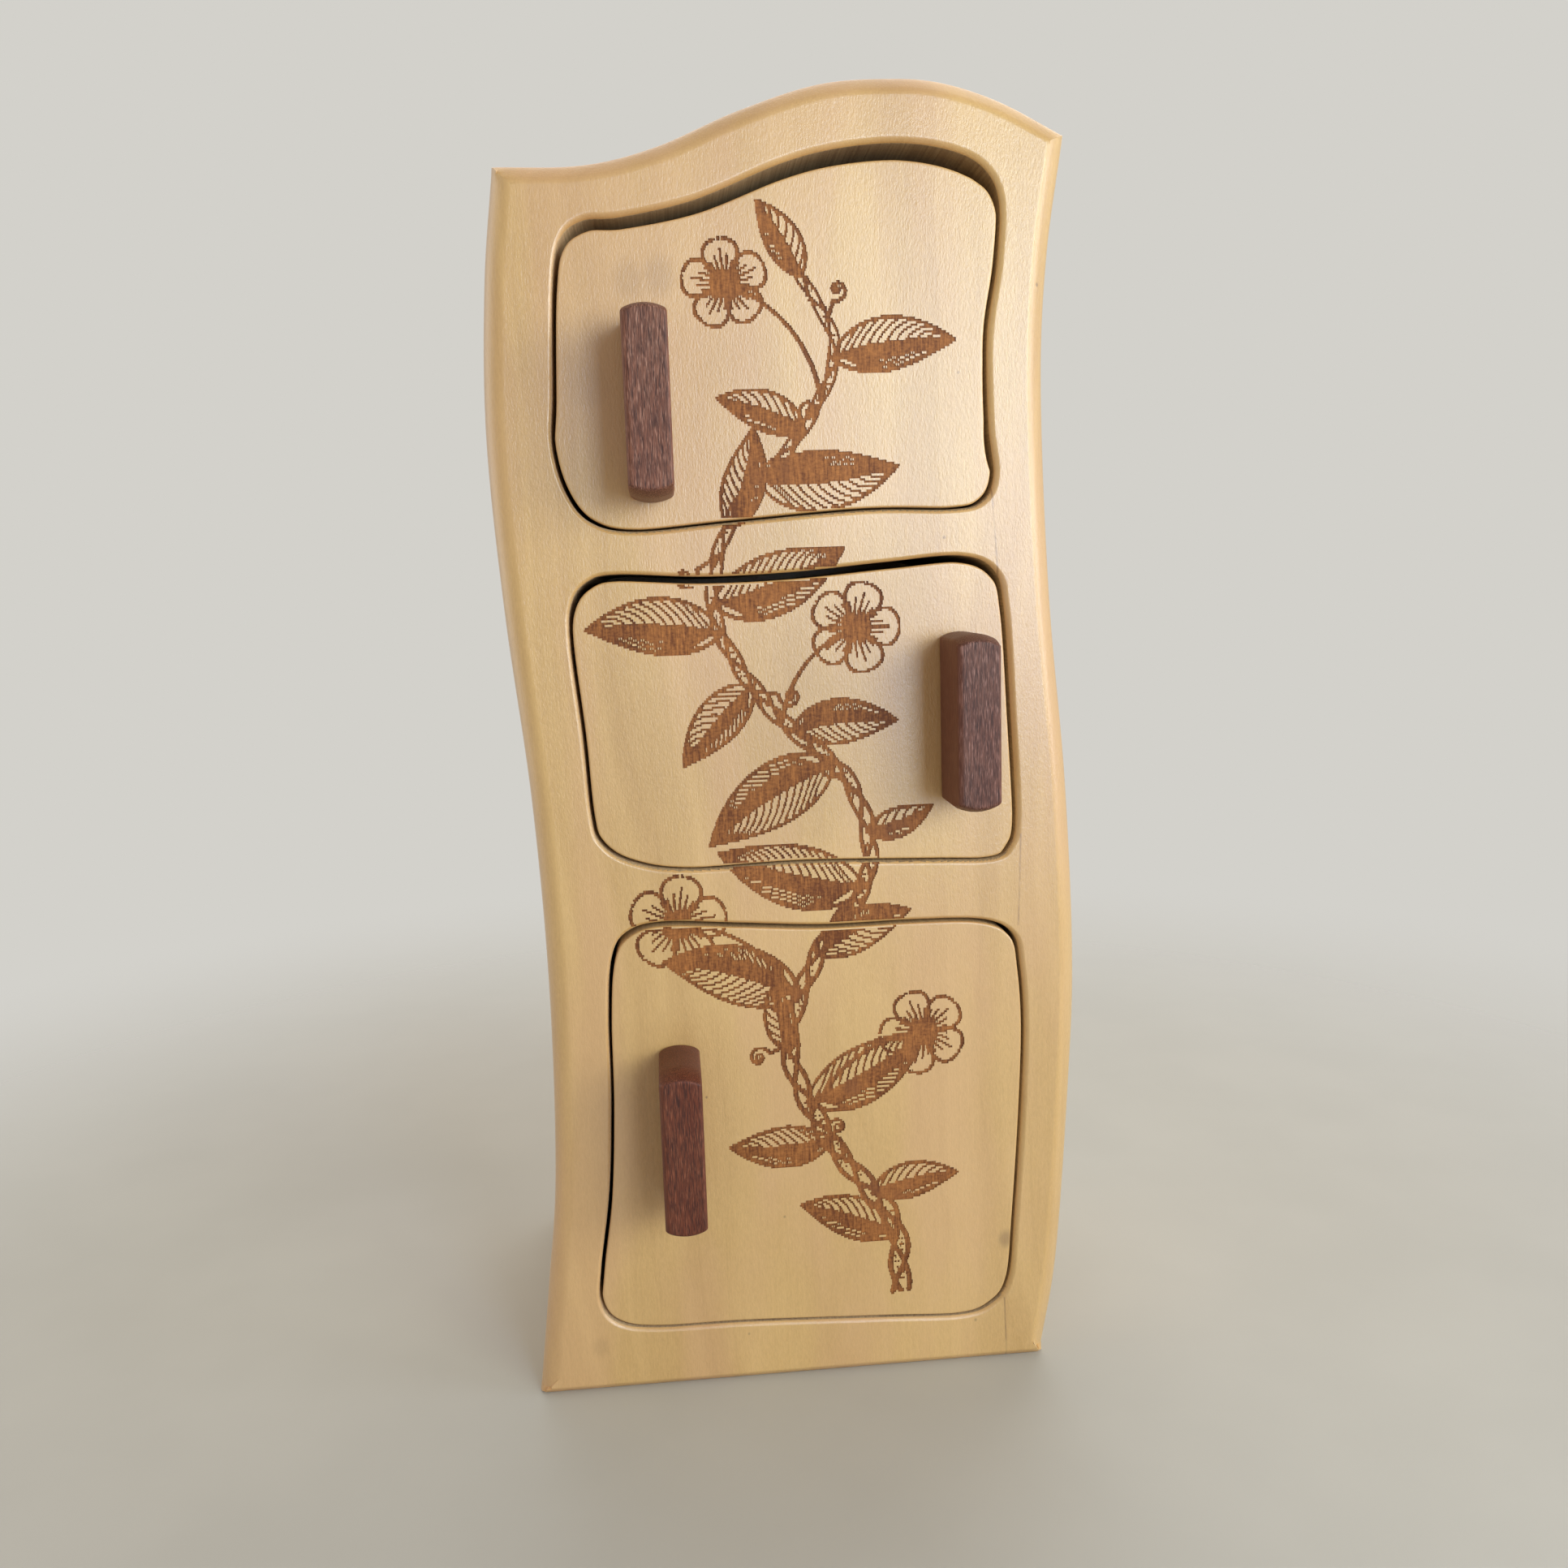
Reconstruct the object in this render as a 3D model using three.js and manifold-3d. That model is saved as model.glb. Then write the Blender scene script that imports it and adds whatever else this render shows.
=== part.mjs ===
// A tall wooden jewelry box cut from one glued-up block with a wandering saw line.
// A wavy case holds three drawers one above another. Each drawer was cut out of the
// block, sliced into a front, a core and a back, hollowed and glued together again.
// Units are millimetres. The front faces -Y, +X is to the right and +Z is up.
// The origin is the middle of the base.

import * as THREE from 'three';
import { mergeVertices } from 'three/addons/utils/BufferGeometryUtils.js';
import Module from 'manifold-3d';

const wasm = await Module();
wasm.setup();

// Case, seen from the front
const caseWidth = 135.5;
const baseRail = 13;
const lowerRail = 11.3;
const upperRail = 7.5;
const topRail = 14.3;

// Case, front to back
const boardThickness = 22;
const backThickness = 12;
const glueLine = 0.1;
const caseRound = 5;
const mouthRound = 1.5;

// Drawers, all three alike
const sideGap = 1.1;
const floorGap = 0.4;
const rearGap = 1;
const frontThickness = 8;
const rearThickness = 8;
const drawerWall = 9;
const drawerFloor = 8;
const frontEase = 0.5;
const drawerOverrun = 5;
const mouthShare = 0.74;

// Felt lining, laid round the hollow of each drawer
const linerThickness = 1.2;
const linerGap = 0.3;

// Pulls, each held by two dowels
const pullWidth = 9.7;
const pullLength = 40;
const pullDepth = 20;
const pullDome = 1.3;
const pullEase = 0.9;
const dowelDiameter = 4;
const dowelSpacing = 18;
const dowelInPull = 10;
const dowelInFront = 5.5;
const dowelFit = 0.2;
const dowelEndGap = 0.5;

// Fineness of the curves
const sideSteps = 2;
const topSteps = 3;
const openingSteps = 2;
const roundSteps = 4;
const easeSteps = 2;
const domeSteps = 8;
const dowelSides = 12;

// Outline of the case as shares of its width and height, from the top left corner
// down the left side, along the base, up the right side and back along the top
const leftSideShares = [
  [0.046, 0.941], [0.022, 0.858], [0.010, 0.753], [0.022, 0.628], [0.048, 0.484],
  [0.058, 0.334], [0.049, 0.183], [0.024, 0.085], [0.000, 0.000],
];
const rightSideShares = [
  [0.939, 0.000], [0.970, 0.085], [0.993, 0.236], [1.000, 0.340], [0.986, 0.481],
  [0.957, 0.628], [0.943, 0.779], [0.952, 0.874], [0.980, 0.961],
];
const topSideShares = [
  [0.980, 0.961], [0.875, 0.984], [0.779, 0.997], [0.691, 1.000], [0.573, 0.996],
  [0.440, 0.978], [0.307, 0.954], [0.189, 0.942], [0.046, 0.941],
];

// Each drawer's opening: its height, the wood left beside it, the room over the drawer,
// where the pull's middle sits, and the outline as shares of the opening's own box,
// from the middle of the top to the left and once round
const lowerOpening = {
  name: 'lower',
  height: 105.7,
  leftMargin: 15.9,
  rightMargin: 13.2,
  topGapLeft: 1.1,
  topGapRight: 0.7,
  pullAcrossShare: 0.2077,
  pullUpShare: 0.5252,
  outlineShares: [
    [0.542, 0.974], [0.354, 0.988], [0.185, 1.000], [0.105, 0.981], [0.069, 0.925],
    [0.055, 0.795], [0.050, 0.587], [0.035, 0.369], [0.008, 0.189], [0.003, 0.100],
    [0.040, 0.049], [0.129, 0.029], [0.336, 0.025], [0.655, 0.009], [0.843, 0.000],
    [0.920, 0.023], [0.961, 0.083], [0.976, 0.237], [0.993, 0.501], [1.000, 0.710],
    [0.992, 0.851], [0.974, 0.929], [0.904, 0.966], [0.749, 0.974],
  ],
};
const middleOpening = {
  name: 'middle',
  height: 71.6,
  leftMargin: 17.4,
  rightMargin: 15,
  topGapLeft: 1.5,
  topGapRight: 1.6,
  pullAcrossShare: 0.87,
  pullUpShare: 0.479,
  outlineShares: [
    [0.497, 0.964], [0.303, 0.958], [0.113, 0.973], [0.046, 0.953], [0.009, 0.883],
    [0.002, 0.754], [0.018, 0.461], [0.027, 0.209], [0.045, 0.115], [0.109, 0.050],
    [0.235, 0.015], [0.497, 0.021], [0.788, 0.006], [0.938, 0.000], [0.984, 0.036],
    [1.000, 0.140], [0.989, 0.489], [0.975, 0.824], [0.952, 0.950], [0.875, 1.000],
    [0.710, 0.987],
  ],
};
const upperOpening = {
  name: 'upper',
  height: 82.1,
  leftMargin: 15.9,
  rightMargin: 18,
  topGapLeft: 2.1,
  topGapRight: 4.1,
  pullAcrossShare: 0.2141,
  pullUpShare: 0.3186,
  outlineShares: [
    [0.509, 0.944], [0.332, 0.859], [0.174, 0.817], [0.091, 0.808], [0.041, 0.759],
    [0.021, 0.644], [0.008, 0.376], [0.001, 0.230], [0.025, 0.108], [0.076, 0.028],
    [0.174, 0.000], [0.391, 0.018], [0.686, 0.041], [0.883, 0.037], [0.954, 0.056],
    [0.982, 0.127], [0.971, 0.267], [0.969, 0.498], [0.992, 0.687], [0.998, 0.851],
    [0.962, 0.939], [0.883, 0.984], [0.765, 1.000], [0.627, 0.983],
  ],
};

// What follows from the sizes
const baseWidthShare = rightSideShares[0][0] - leftSideShares.at(-1)[0];
const caseLeft = -caseWidth * baseWidthShare / 2;
const caseRight = caseLeft + caseWidth;
const lowerFloor = baseRail;
const middleFloor = lowerFloor + lowerOpening.height + lowerRail;
const upperFloor = middleFloor + middleOpening.height + upperRail;
const caseHeight = upperFloor + upperOpening.height + topRail;

const boardNames = ['case_front_board', 'case_second_board', 'case_third_board', 'case_rear_board'];
const boardPitch = boardThickness + glueLine;
const caseDepth = boardNames.length * boardPitch + backThickness;
const frontFace = -caseDepth / 2;
const rearFace = caseDepth / 2;
const cavityEnd = rearFace - backThickness;
const frontRear = frontFace + frontThickness;
const coreFront = frontRear + glueLine;
const drawerRear = cavityEnd - glueLine - rearGap;
const coreRear = drawerRear - rearThickness - glueLine;

const woodColour = new THREE.Color(0.79, 0.62, 0.38);
const innerWoodColour = new THREE.Color(0.74, 0.57, 0.35);
const pullColour = new THREE.Color(0.40, 0.24, 0.22);
const feltColour = new THREE.Color(0.16, 0.05, 0.06);

const caseWood = new THREE.MeshStandardMaterial({ color: woodColour, roughness: 0.42, metalness: 0 });
const drawerWood = new THREE.MeshStandardMaterial({ color: woodColour, roughness: 0.42, metalness: 0 });
const innerWood = new THREE.MeshStandardMaterial({ color: innerWoodColour, roughness: 0.6, metalness: 0 });
const pullWood = new THREE.MeshStandardMaterial({ color: pullColour, roughness: 0.5, metalness: 0 });
const dowelWood = new THREE.MeshStandardMaterial({ color: innerWoodColour, roughness: 0.7, metalness: 0 });
const felt = new THREE.MeshStandardMaterial({ color: feltColour, roughness: 1, metalness: 0 });

// Points of a smooth curve through the key points, with even steps in each span
function smooth(keys, steps, closed) {
  const curve = new THREE.CatmullRomCurve3(
    keys.map(([x, z]) => new THREE.Vector3(x, z, 0)), closed, 'catmullrom', 0.5,
  );
  const spans = closed ? keys.length : keys.length - 1;
  const points = [];
  for (let step = 0; step < spans * steps; step += 1) {
    const point = curve.getPoint(step / (spans * steps));
    points.push(new THREE.Vector2(point.x, point.y));
  }
  return points;
}

// Key points, given as shares, placed in a box on the front plane
function placeShares(shares, left, bottom, width, height) {
  return shares.map(([across, up]) => [left + across * width, bottom + up * height]);
}

// Outward direction of the edge from one point to the next on an anticlockwise outline
function edgeNormal(from, to) {
  return new THREE.Vector2(to.y - from.y, from.x - to.x).normalize();
}

// The outline moved inwards. distance(normal, point) says how far each wall moves,
// and a corner moves so that both of its walls keep their distance.
function inset(outline, distance) {
  return outline.map((point, index) => {
    const before = outline[(index + outline.length - 1) % outline.length];
    const after = outline[(index + 1) % outline.length];
    const first = edgeNormal(before, point);
    const second = edgeNormal(point, after);
    const reach = 1 + first.dot(second);
    const shift = first.add(second).divideScalar(reach);
    const normal = shift.clone().normalize();
    return point.clone().addScaledVector(shift, -distance(normal, point));
  });
}

// Lowest and highest corner of an outline
function boxOf(outline) {
  return new THREE.Box2().setFromPoints(outline);
}

// Side walls of a stack of rings that have as many points each
function addWalls(rings, start, indices) {
  const count = rings[0].outline.length;
  for (let ring = 0; ring < rings.length - 1; ring += 1) {
    for (let i = 0; i < count; i += 1) {
      const j = (i + 1) % count;
      const a = start + ring * count + i;
      const b = start + ring * count + j;
      indices.push(a, b + count, b, a, a + count, b + count);
    }
  }
}

// A closed board through rings laid front to back, with the same for each hole.
// The contour runs anticlockwise and the holes clockwise, seen from the front.
function loft(contour, holes) {
  const stacks = [contour, ...holes];
  const positions = [];
  const indices = [];
  const frontStarts = [];
  for (const rings of stacks) {
    const start = positions.length / 3;
    frontStarts.push(start);
    for (const { y, outline } of rings) {
      outline.forEach((point) => positions.push(point.x, y, point.y));
    }
    addWalls(rings, start, indices);
  }
  for (const rear of [false, true]) {
    const loops = stacks.map((rings) => rings.at(rear ? -1 : 0).outline);
    const numbers = stacks.flatMap((rings, stack) => {
      const offset = rear ? (rings.length - 1) * rings[0].outline.length : 0;
      return rings[0].outline.map((point, i) => frontStarts[stack] + offset + i);
    });
    for (const [a, b, c] of THREE.ShapeUtils.triangulateShape(loops[0], loops.slice(1))) {
      const face = [numbers[a], numbers[b], numbers[c]];
      indices.push(...(rear ? face.reverse() : face));
    }
  }
  const geometry = new THREE.BufferGeometry();
  geometry.setAttribute('position', new THREE.Float32BufferAttribute(positions, 3));
  geometry.setIndex(indices);
  return geometry;
}

// Rings of an edge rounded over with the given radius, from the face inwards.
// outwards is true for a hole, whose mouth widens towards the face.
function roundedEdge(outline, face, radius, steps, inwards, outwards) {
  const rings = [];
  for (let step = 0; step <= steps; step += 1) {
    const angle = (step / steps) * Math.PI / 2;
    const off = radius * (1 - Math.sin(angle));
    const y = face + inwards * radius * (1 - Math.cos(angle));
    rings.push({ y, outline: inset(outline, () => (outwards ? -off : off)) });
  }
  return rings;
}

// An outline carried straight from front to rear
function prism(outline, front, rear) {
  const geometry = new THREE.ExtrudeGeometry(new THREE.Shape(outline), {
    depth: rear - front,
    bevelEnabled: false,
  });
  geometry.rotateX(Math.PI / 2);
  geometry.translate(0, rear, 0);
  return geometry;
}

// A closed geometry as a solid that can be cut
function toSolid(geometry) {
  const bare = geometry.clone();
  bare.deleteAttribute('normal');
  bare.deleteAttribute('uv');
  const merged = mergeVertices(bare);
  return new wasm.Manifold(new wasm.Mesh({
    numProp: 3,
    vertProperties: new Float32Array(merged.attributes.position.array),
    triVerts: new Uint32Array(merged.index.array),
  }));
}

// A solid back as a geometry
function toGeometry(solid) {
  const mesh = solid.getMesh();
  const geometry = new THREE.BufferGeometry();
  geometry.setAttribute('position', new THREE.Float32BufferAttribute(mesh.vertProperties, 3));
  geometry.setIndex(Array.from(mesh.triVerts));
  return geometry;
}

// Cuts every tool out of a geometry
function cut(geometry, tools) {
  let solid = toSolid(geometry);
  for (const tool of tools) {
    solid = solid.subtract(toSolid(tool));
  }
  return toGeometry(solid);
}

function addMesh(group, name, geometry, material) {
  const mesh = new THREE.Mesh(geometry, material);
  mesh.name = name;
  group.add(mesh);
}

// Outline of the case, anticlockwise from the top left corner
function caseOutline() {
  const box = [caseLeft, 0, caseWidth, caseHeight];
  return [
    ...smooth(placeShares(leftSideShares, ...box), sideSteps, false),
    new THREE.Vector2(caseLeft + leftSideShares.at(-1)[0] * caseWidth, 0),
    ...smooth(placeShares(rightSideShares, ...box), sideSteps, false),
    ...smooth(placeShares(topSideShares, ...box), topSteps, false),
  ];
}

// Outline of an opening, anticlockwise from the middle of its top
function openingOutline(opening, floor) {
  const left = caseLeft + opening.leftMargin;
  const width = caseRight - opening.rightMargin - left;
  const keys = placeShares(opening.outlineShares, left, floor, width, opening.height);
  return smooth(keys, openingSteps, true);
}

// Outline of the drawer that fits an opening: a saw line smaller at the sides, close at
// the floor where it rests, and with its own room at the top
function drawerOutline(opening, mouth) {
  const box = boxOf(mouth);
  const width = box.max.x - box.min.x;
  return inset(mouth, (normal, point) => {
    const across = (point.x - box.min.x) / width;
    const topGap = THREE.MathUtils.lerp(opening.topGapLeft, opening.topGapRight, across);
    const upDown = normal.y > 0 ? topGap : floorGap;
    return Math.abs(normal.x) * sideGap + Math.abs(normal.y) * upDown;
  });
}

// The lower part of a drawer's hollow: the drawer's outline drawn in by the walls and
// the floor, from the mouth on the left round the floor to the mouth on the right
function hollowBowl(outline) {
  const box = boxOf(outline);
  const width = box.max.x - box.min.x;
  const height = box.max.y - box.min.y;
  const middle = (box.min.x + box.max.x) / 2;
  const acrossScale = (width - 2 * drawerWall) / width;
  const upScale = (height - drawerFloor) / height;
  const mouth = box.min.y + height * mouthShare;
  return outline
    .map((point) => new THREE.Vector2(
      middle + (point.x - middle) * acrossScale,
      box.max.y + (point.y - box.max.y) * upScale,
    ))
    .filter((point) => point.y < mouth);
}

// The whole hollow, carried straight up past the drawer's top
function hollowOutline(outline) {
  const bowl = hollowBowl(outline);
  const top = boxOf(outline).max.y + drawerOverrun;
  return [
    new THREE.Vector2(bowl[0].x, top),
    ...bowl,
    new THREE.Vector2(bowl.at(-1).x, top),
  ];
}

// The felt sheet's cut edge: down the left wall, along the floor, up the right wall
// and back on the sheet's inner side
function linerOutline(outline) {
  const hollow = hollowOutline(outline);
  const outer = inset(hollow, () => linerGap).slice(1, -1);
  const inner = inset(hollow, () => linerGap + linerThickness).slice(1, -1);
  return [...outer, ...inner.reverse()];
}

// Middle of a drawer's pull on the front plane
function pullMiddle(opening, mouth) {
  const box = boxOf(mouth);
  return new THREE.Vector2(
    THREE.MathUtils.lerp(box.min.x, box.max.x, opening.pullAcrossShare),
    THREE.MathUtils.lerp(box.min.y, box.max.y, opening.pullUpShare),
  );
}

// One domed end of a pull as points of an arc from side to side. turn is 1 for the
// upper end, run right to left, and -1 for the lower end, run left to right.
function domedEnd(middle, turn) {
  const half = pullWidth / 2;
  const radius = (half * half + pullDome * pullDome) / (2 * pullDome);
  const spread = Math.asin(half / radius);
  const points = [];
  for (let step = 0; step <= domeSteps; step += 1) {
    const angle = spread * (1 - 2 * step / domeSteps);
    points.push(new THREE.Vector2(
      middle.x + turn * radius * Math.sin(angle),
      middle.y + turn * (pullLength / 2 - radius + radius * Math.cos(angle)),
    ));
  }
  return points;
}

// A round pin or bore along Y
function dowelCylinder(middle, radius, front, rear) {
  const geometry = new THREE.CylinderGeometry(radius, radius, rear - front, dowelSides);
  geometry.translate(middle.x, (front + rear) / 2, middle.y);
  return geometry;
}

// Centres of a pull's two dowels
function dowelMiddles(middle) {
  return [1, -1].map((side) => new THREE.Vector2(middle.x, middle.y + side * dowelSpacing / 2));
}

// The bores that a pull's dowels sit in, on both sides of the joint
function dowelBores(middle) {
  const radius = dowelDiameter / 2 + dowelFit;
  const front = frontFace - glueLine - dowelInPull - dowelEndGap;
  const rear = frontFace + dowelInFront + dowelEndGap;
  return dowelMiddles(middle).map((spot) => dowelCylinder(spot, radius, front, rear));
}

function pullGeometry(middle) {
  const outline = [...domedEnd(middle, 1), ...domedEnd(middle, -1)];
  const rear = frontFace - glueLine;
  const front = rear - pullDepth;
  const rings = [
    ...roundedEdge(outline, front, pullEase, easeSteps, 1, false),
    ...roundedEdge(outline, rear, pullEase, easeSteps, -1, false).reverse(),
  ];
  return cut(loft(rings, []), dowelBores(middle));
}

// One drawer: front, core, back, felt, pull and the pull's dowels
function addDrawer(group, opening, mouth) {
  const outline = drawerOutline(opening, mouth);
  const middle = pullMiddle(opening, mouth);
  const name = opening.name;

  const frontRings = [
    ...roundedEdge(outline, frontFace, frontEase, easeSteps, 1, false),
    { y: frontRear, outline },
  ];
  addMesh(group, `${name}_drawer_front`, cut(loft(frontRings, []), dowelBores(middle)), drawerWood);

  const core = prism(outline, coreFront, coreRear);
  const hollow = prism(hollowOutline(outline), coreFront - drawerOverrun, coreRear + drawerOverrun);
  addMesh(group, `${name}_drawer_core`, cut(core, [hollow]), innerWood);
  addMesh(group, `${name}_drawer_back`, prism(outline, drawerRear - rearThickness, drawerRear), innerWood);

  const liner = prism(linerOutline(outline), coreFront + linerGap, coreRear - linerGap);
  addMesh(group, `${name}_drawer_liner`, liner, felt);

  addMesh(group, `${name}_pull`, pullGeometry(middle), pullWood);
  dowelMiddles(middle).forEach((spot, index) => {
    const place = index === 0 ? 'upper' : 'lower';
    const front = frontFace - glueLine - dowelInPull;
    const dowel = dowelCylinder(spot, dowelDiameter / 2, front, frontFace + dowelInFront);
    addMesh(group, `${name}_pull_${place}_dowel`, dowel, dowelWood);
  });
}

// The case: four boards with the three openings cut through, and a closed back
function addCase(group, mouths) {
  const outline = caseOutline();
  boardNames.forEach((name, index) => {
    const front = frontFace + index * boardPitch;
    const rear = front + boardThickness;
    const isFront = index === 0;
    const contour = isFront
      ? roundedEdge(outline, front, caseRound, roundSteps, 1, false)
      : [{ y: front, outline }];
    const holes = mouths.map((mouth) => {
      const rings = isFront
        ? roundedEdge(mouth, front, mouthRound, easeSteps, 1, true)
        : [{ y: front, outline: mouth }];
      const stack = [...rings, { y: rear, outline: mouth }];
      return stack.map(({ y, outline: ring }) => ({ y, outline: [...ring].reverse() }));
    });
    addMesh(group, name, loft([...contour, { y: rear, outline }], holes), caseWood);
  });
  const backRings = [
    { y: rearFace - backThickness, outline },
    ...roundedEdge(outline, rearFace, caseRound, roundSteps, -1, false).reverse(),
  ];
  addMesh(group, 'case_back_panel', loft(backRings, []), caseWood);
}

const box = new THREE.Group();
const openings = [
  { opening: upperOpening, floor: upperFloor },
  { opening: middleOpening, floor: middleFloor },
  { opening: lowerOpening, floor: lowerFloor },
];
const mouths = openings.map(({ opening, floor }) => openingOutline(opening, floor));
const caseGroup = new THREE.Group();
addCase(caseGroup, mouths);
box.add(caseGroup);
openings.forEach(({ opening }, index) => {
  const drawer = new THREE.Group();
  addDrawer(drawer, opening, mouths[index]);
  box.add(drawer);
});

export default box;
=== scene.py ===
"""Wooden jewelry box: a wavy case sawn from one glued-up block, with three drawers and bar pulls.

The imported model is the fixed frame. Every board, drawer part, pull and lining is made again here as a
finer surface over its own solid, and the dowels keep their solids and get a finish. Sizes are in
millimetres until a mesh is made. The front faces -Y, +X is to the right and +Z is up.
"""
import logging
import math
from dataclasses import dataclass, field
from enum import Enum
from functools import cached_property

import bpy
import numpy as np
from mathutils import Matrix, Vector
from mathutils.geometry import delaunay_2d_cdt


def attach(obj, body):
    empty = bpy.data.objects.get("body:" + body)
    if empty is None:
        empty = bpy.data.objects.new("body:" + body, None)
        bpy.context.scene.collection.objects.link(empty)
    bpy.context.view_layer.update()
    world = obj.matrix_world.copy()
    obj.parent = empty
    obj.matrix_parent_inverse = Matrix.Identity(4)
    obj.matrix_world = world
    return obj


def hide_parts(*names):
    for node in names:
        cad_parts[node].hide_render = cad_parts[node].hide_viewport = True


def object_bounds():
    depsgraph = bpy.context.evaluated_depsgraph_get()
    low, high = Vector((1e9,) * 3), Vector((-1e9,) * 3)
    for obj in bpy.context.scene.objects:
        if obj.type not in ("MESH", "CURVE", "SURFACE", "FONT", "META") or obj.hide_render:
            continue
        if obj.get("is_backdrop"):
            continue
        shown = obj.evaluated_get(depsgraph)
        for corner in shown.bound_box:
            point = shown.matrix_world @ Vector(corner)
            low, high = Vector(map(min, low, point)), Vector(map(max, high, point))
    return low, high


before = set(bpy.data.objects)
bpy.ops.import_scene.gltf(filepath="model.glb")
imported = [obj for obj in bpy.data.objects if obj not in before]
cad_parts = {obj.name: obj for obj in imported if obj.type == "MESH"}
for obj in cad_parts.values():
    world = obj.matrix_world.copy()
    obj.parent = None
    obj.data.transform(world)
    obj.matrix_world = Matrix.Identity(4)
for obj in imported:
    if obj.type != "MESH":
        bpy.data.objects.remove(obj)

MM = 0.001
CHUNK = 3000
CASE_LEFT = -63.62
CASE_WIDTH = 135.5
FRONT = -50.2
BOARD_PITCH = 22.1
GLUE = 0.05
log = logging.getLogger("jewelry_box")


class Body(Enum):
    """The moving bodies of the frame."""

    CASE = "case"
    UPPER = "upper_drawer"
    MIDDLE = "middle_drawer"
    LOWER = "lower_drawer"


class Slot(Enum):
    """The record's material slots."""

    CASE = "case_wood"
    DRAWER = "drawer_wood"
    PULL = "pull_wood"
    DOWEL = "dowel_wood"
    FELT = "liner_felt"


class Facing(Enum):
    """The way that a board's dressed face looks: its value is the step in Y from the face inwards."""

    FRONT = 1
    REAR = -1


def unit(vectors: np.ndarray) -> np.ndarray:
    """Each row divided by its length."""
    return vectors / np.maximum(np.linalg.norm(vectors, axis=1, keepdims=True), 1e-12)


def smooth_curve(keys: np.ndarray, steps: int, closed: bool) -> np.ndarray:
    """A smooth curve through key points, with even steps in each span.

    On a span the curve is a cubic whose slope at a key is half the way from the key before it to the
    key after it. An open curve borrows a key mirrored in its end.

    Args:
        keys: The key points, one row each.
        steps: Points in each span.
        closed: Whether the last key joins the first.

    Returns:
        The points. An open curve leaves out its last key.
    """
    if closed:
        ring = np.vstack([keys[-1:], keys, keys[:2]])
    else:
        ring = np.vstack([2 * keys[:1] - keys[1:2], keys, 2 * keys[-1:] - keys[-2:-1]])
    before, start, end, after = (ring[i : len(ring) - 3 + i, None, :] for i in range(4))
    t = (np.arange(steps) / steps)[None, :, None]
    leave, arrive = (end - before) / 2, (after - start) / 2
    square = 3 * (end - start) - 2 * leave - arrive
    cube = 2 * (start - end) + leave + arrive
    return (start + leave * t + square * t**2 + cube * t**3).reshape(-1, keys.shape[1])


def wall_shift(outline: np.ndarray) -> tuple[np.ndarray, np.ndarray]:
    """How a point of an anticlockwise outline moves when its two walls move outwards by one.

    The shift is the sum of the walls' outward directions over one plus their dot product.

    Args:
        outline: Points (x, z), anticlockwise seen from the front.

    Returns:
        The shift of each point, and its direction as a unit vector.
    """
    ahead = np.roll(outline, -1, 0) - outline
    outward = unit(np.column_stack([ahead[:, 1], -ahead[:, 0]]))
    behind = np.roll(outward, 1, 0)
    shift = (outward + behind) / (1 + np.sum(outward * behind, axis=1, keepdims=True))
    return shift, unit(shift)


def inset(outline: np.ndarray, distance: float | np.ndarray) -> np.ndarray:
    """The outline with its walls moved inwards by a distance, which may differ from point to point."""
    shift, _ = wall_shift(outline)
    return outline - shift * np.reshape(distance, (-1, 1))


def wall_foot(points: np.ndarray, outline: np.ndarray) -> tuple[np.ndarray, np.ndarray]:
    """The nearest spot on a closed outline to each point.

    The foot of a point on a wall is its projection, held between the wall's two ends.

    Args:
        points: Points (x, z).
        outline: The closed outline.

    Returns:
        The distance from each point, and the foot's place as a wall's number plus the share along it.
    """
    wall = np.roll(outline, -1, 0) - outline
    length = np.maximum(np.sum(wall * wall, axis=1), 1e-12)
    found = [np.zeros((2, 0))]
    for start in range(0, len(points), CHUNK):
        away = points[start : start + CHUNK, None, :] - outline[None]
        share = np.clip(np.einsum("pwk,wk->pw", away, wall) / length, 0, 1)
        away -= share[..., None] * wall
        squares = np.einsum("pwk,pwk->pw", away, away)
        nearest = np.argmin(squares, axis=1)[:, None]
        distance = np.sqrt(np.take_along_axis(squares, nearest, 1))
        found.append(np.hstack([distance, nearest + np.take_along_axis(share, nearest, 1)]).T)
    distance, place = np.hstack(found)
    return distance, place


def wall_distance(points: np.ndarray, outline: np.ndarray) -> np.ndarray:
    """The distance from each point to the nearest wall of a closed outline."""
    return wall_foot(points, outline)[0]


def inside(points: np.ndarray, outline: np.ndarray) -> np.ndarray:
    """Whether each point is inside a closed outline: a level ray from it crosses an odd number of walls."""
    x1, z1 = outline.T
    x2, z2 = np.roll(outline, -1, 0).T
    rise = np.where(np.abs(z2 - z1) < 1e-12, 1e-12, z2 - z1)
    found = []
    for start in range(0, len(points), CHUNK):
        x, z = (points[start : start + CHUNK, k, None] for k in (0, 1))
        crosses = ((z1 > z) != (z2 > z)) & (x < x1 + (z - z1) * (x2 - x1) / rise)
        found.append(np.sum(crosses, axis=1) % 2 == 1)
    return np.concatenate(found) if found else np.zeros(0, bool)


def ring_edges(count: int, start: int = 0) -> np.ndarray:
    """The edges of a closed ring of points numbered from start."""
    numbers = np.arange(count)
    return np.column_stack([numbers, (numbers + 1) % count]) + start


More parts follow.
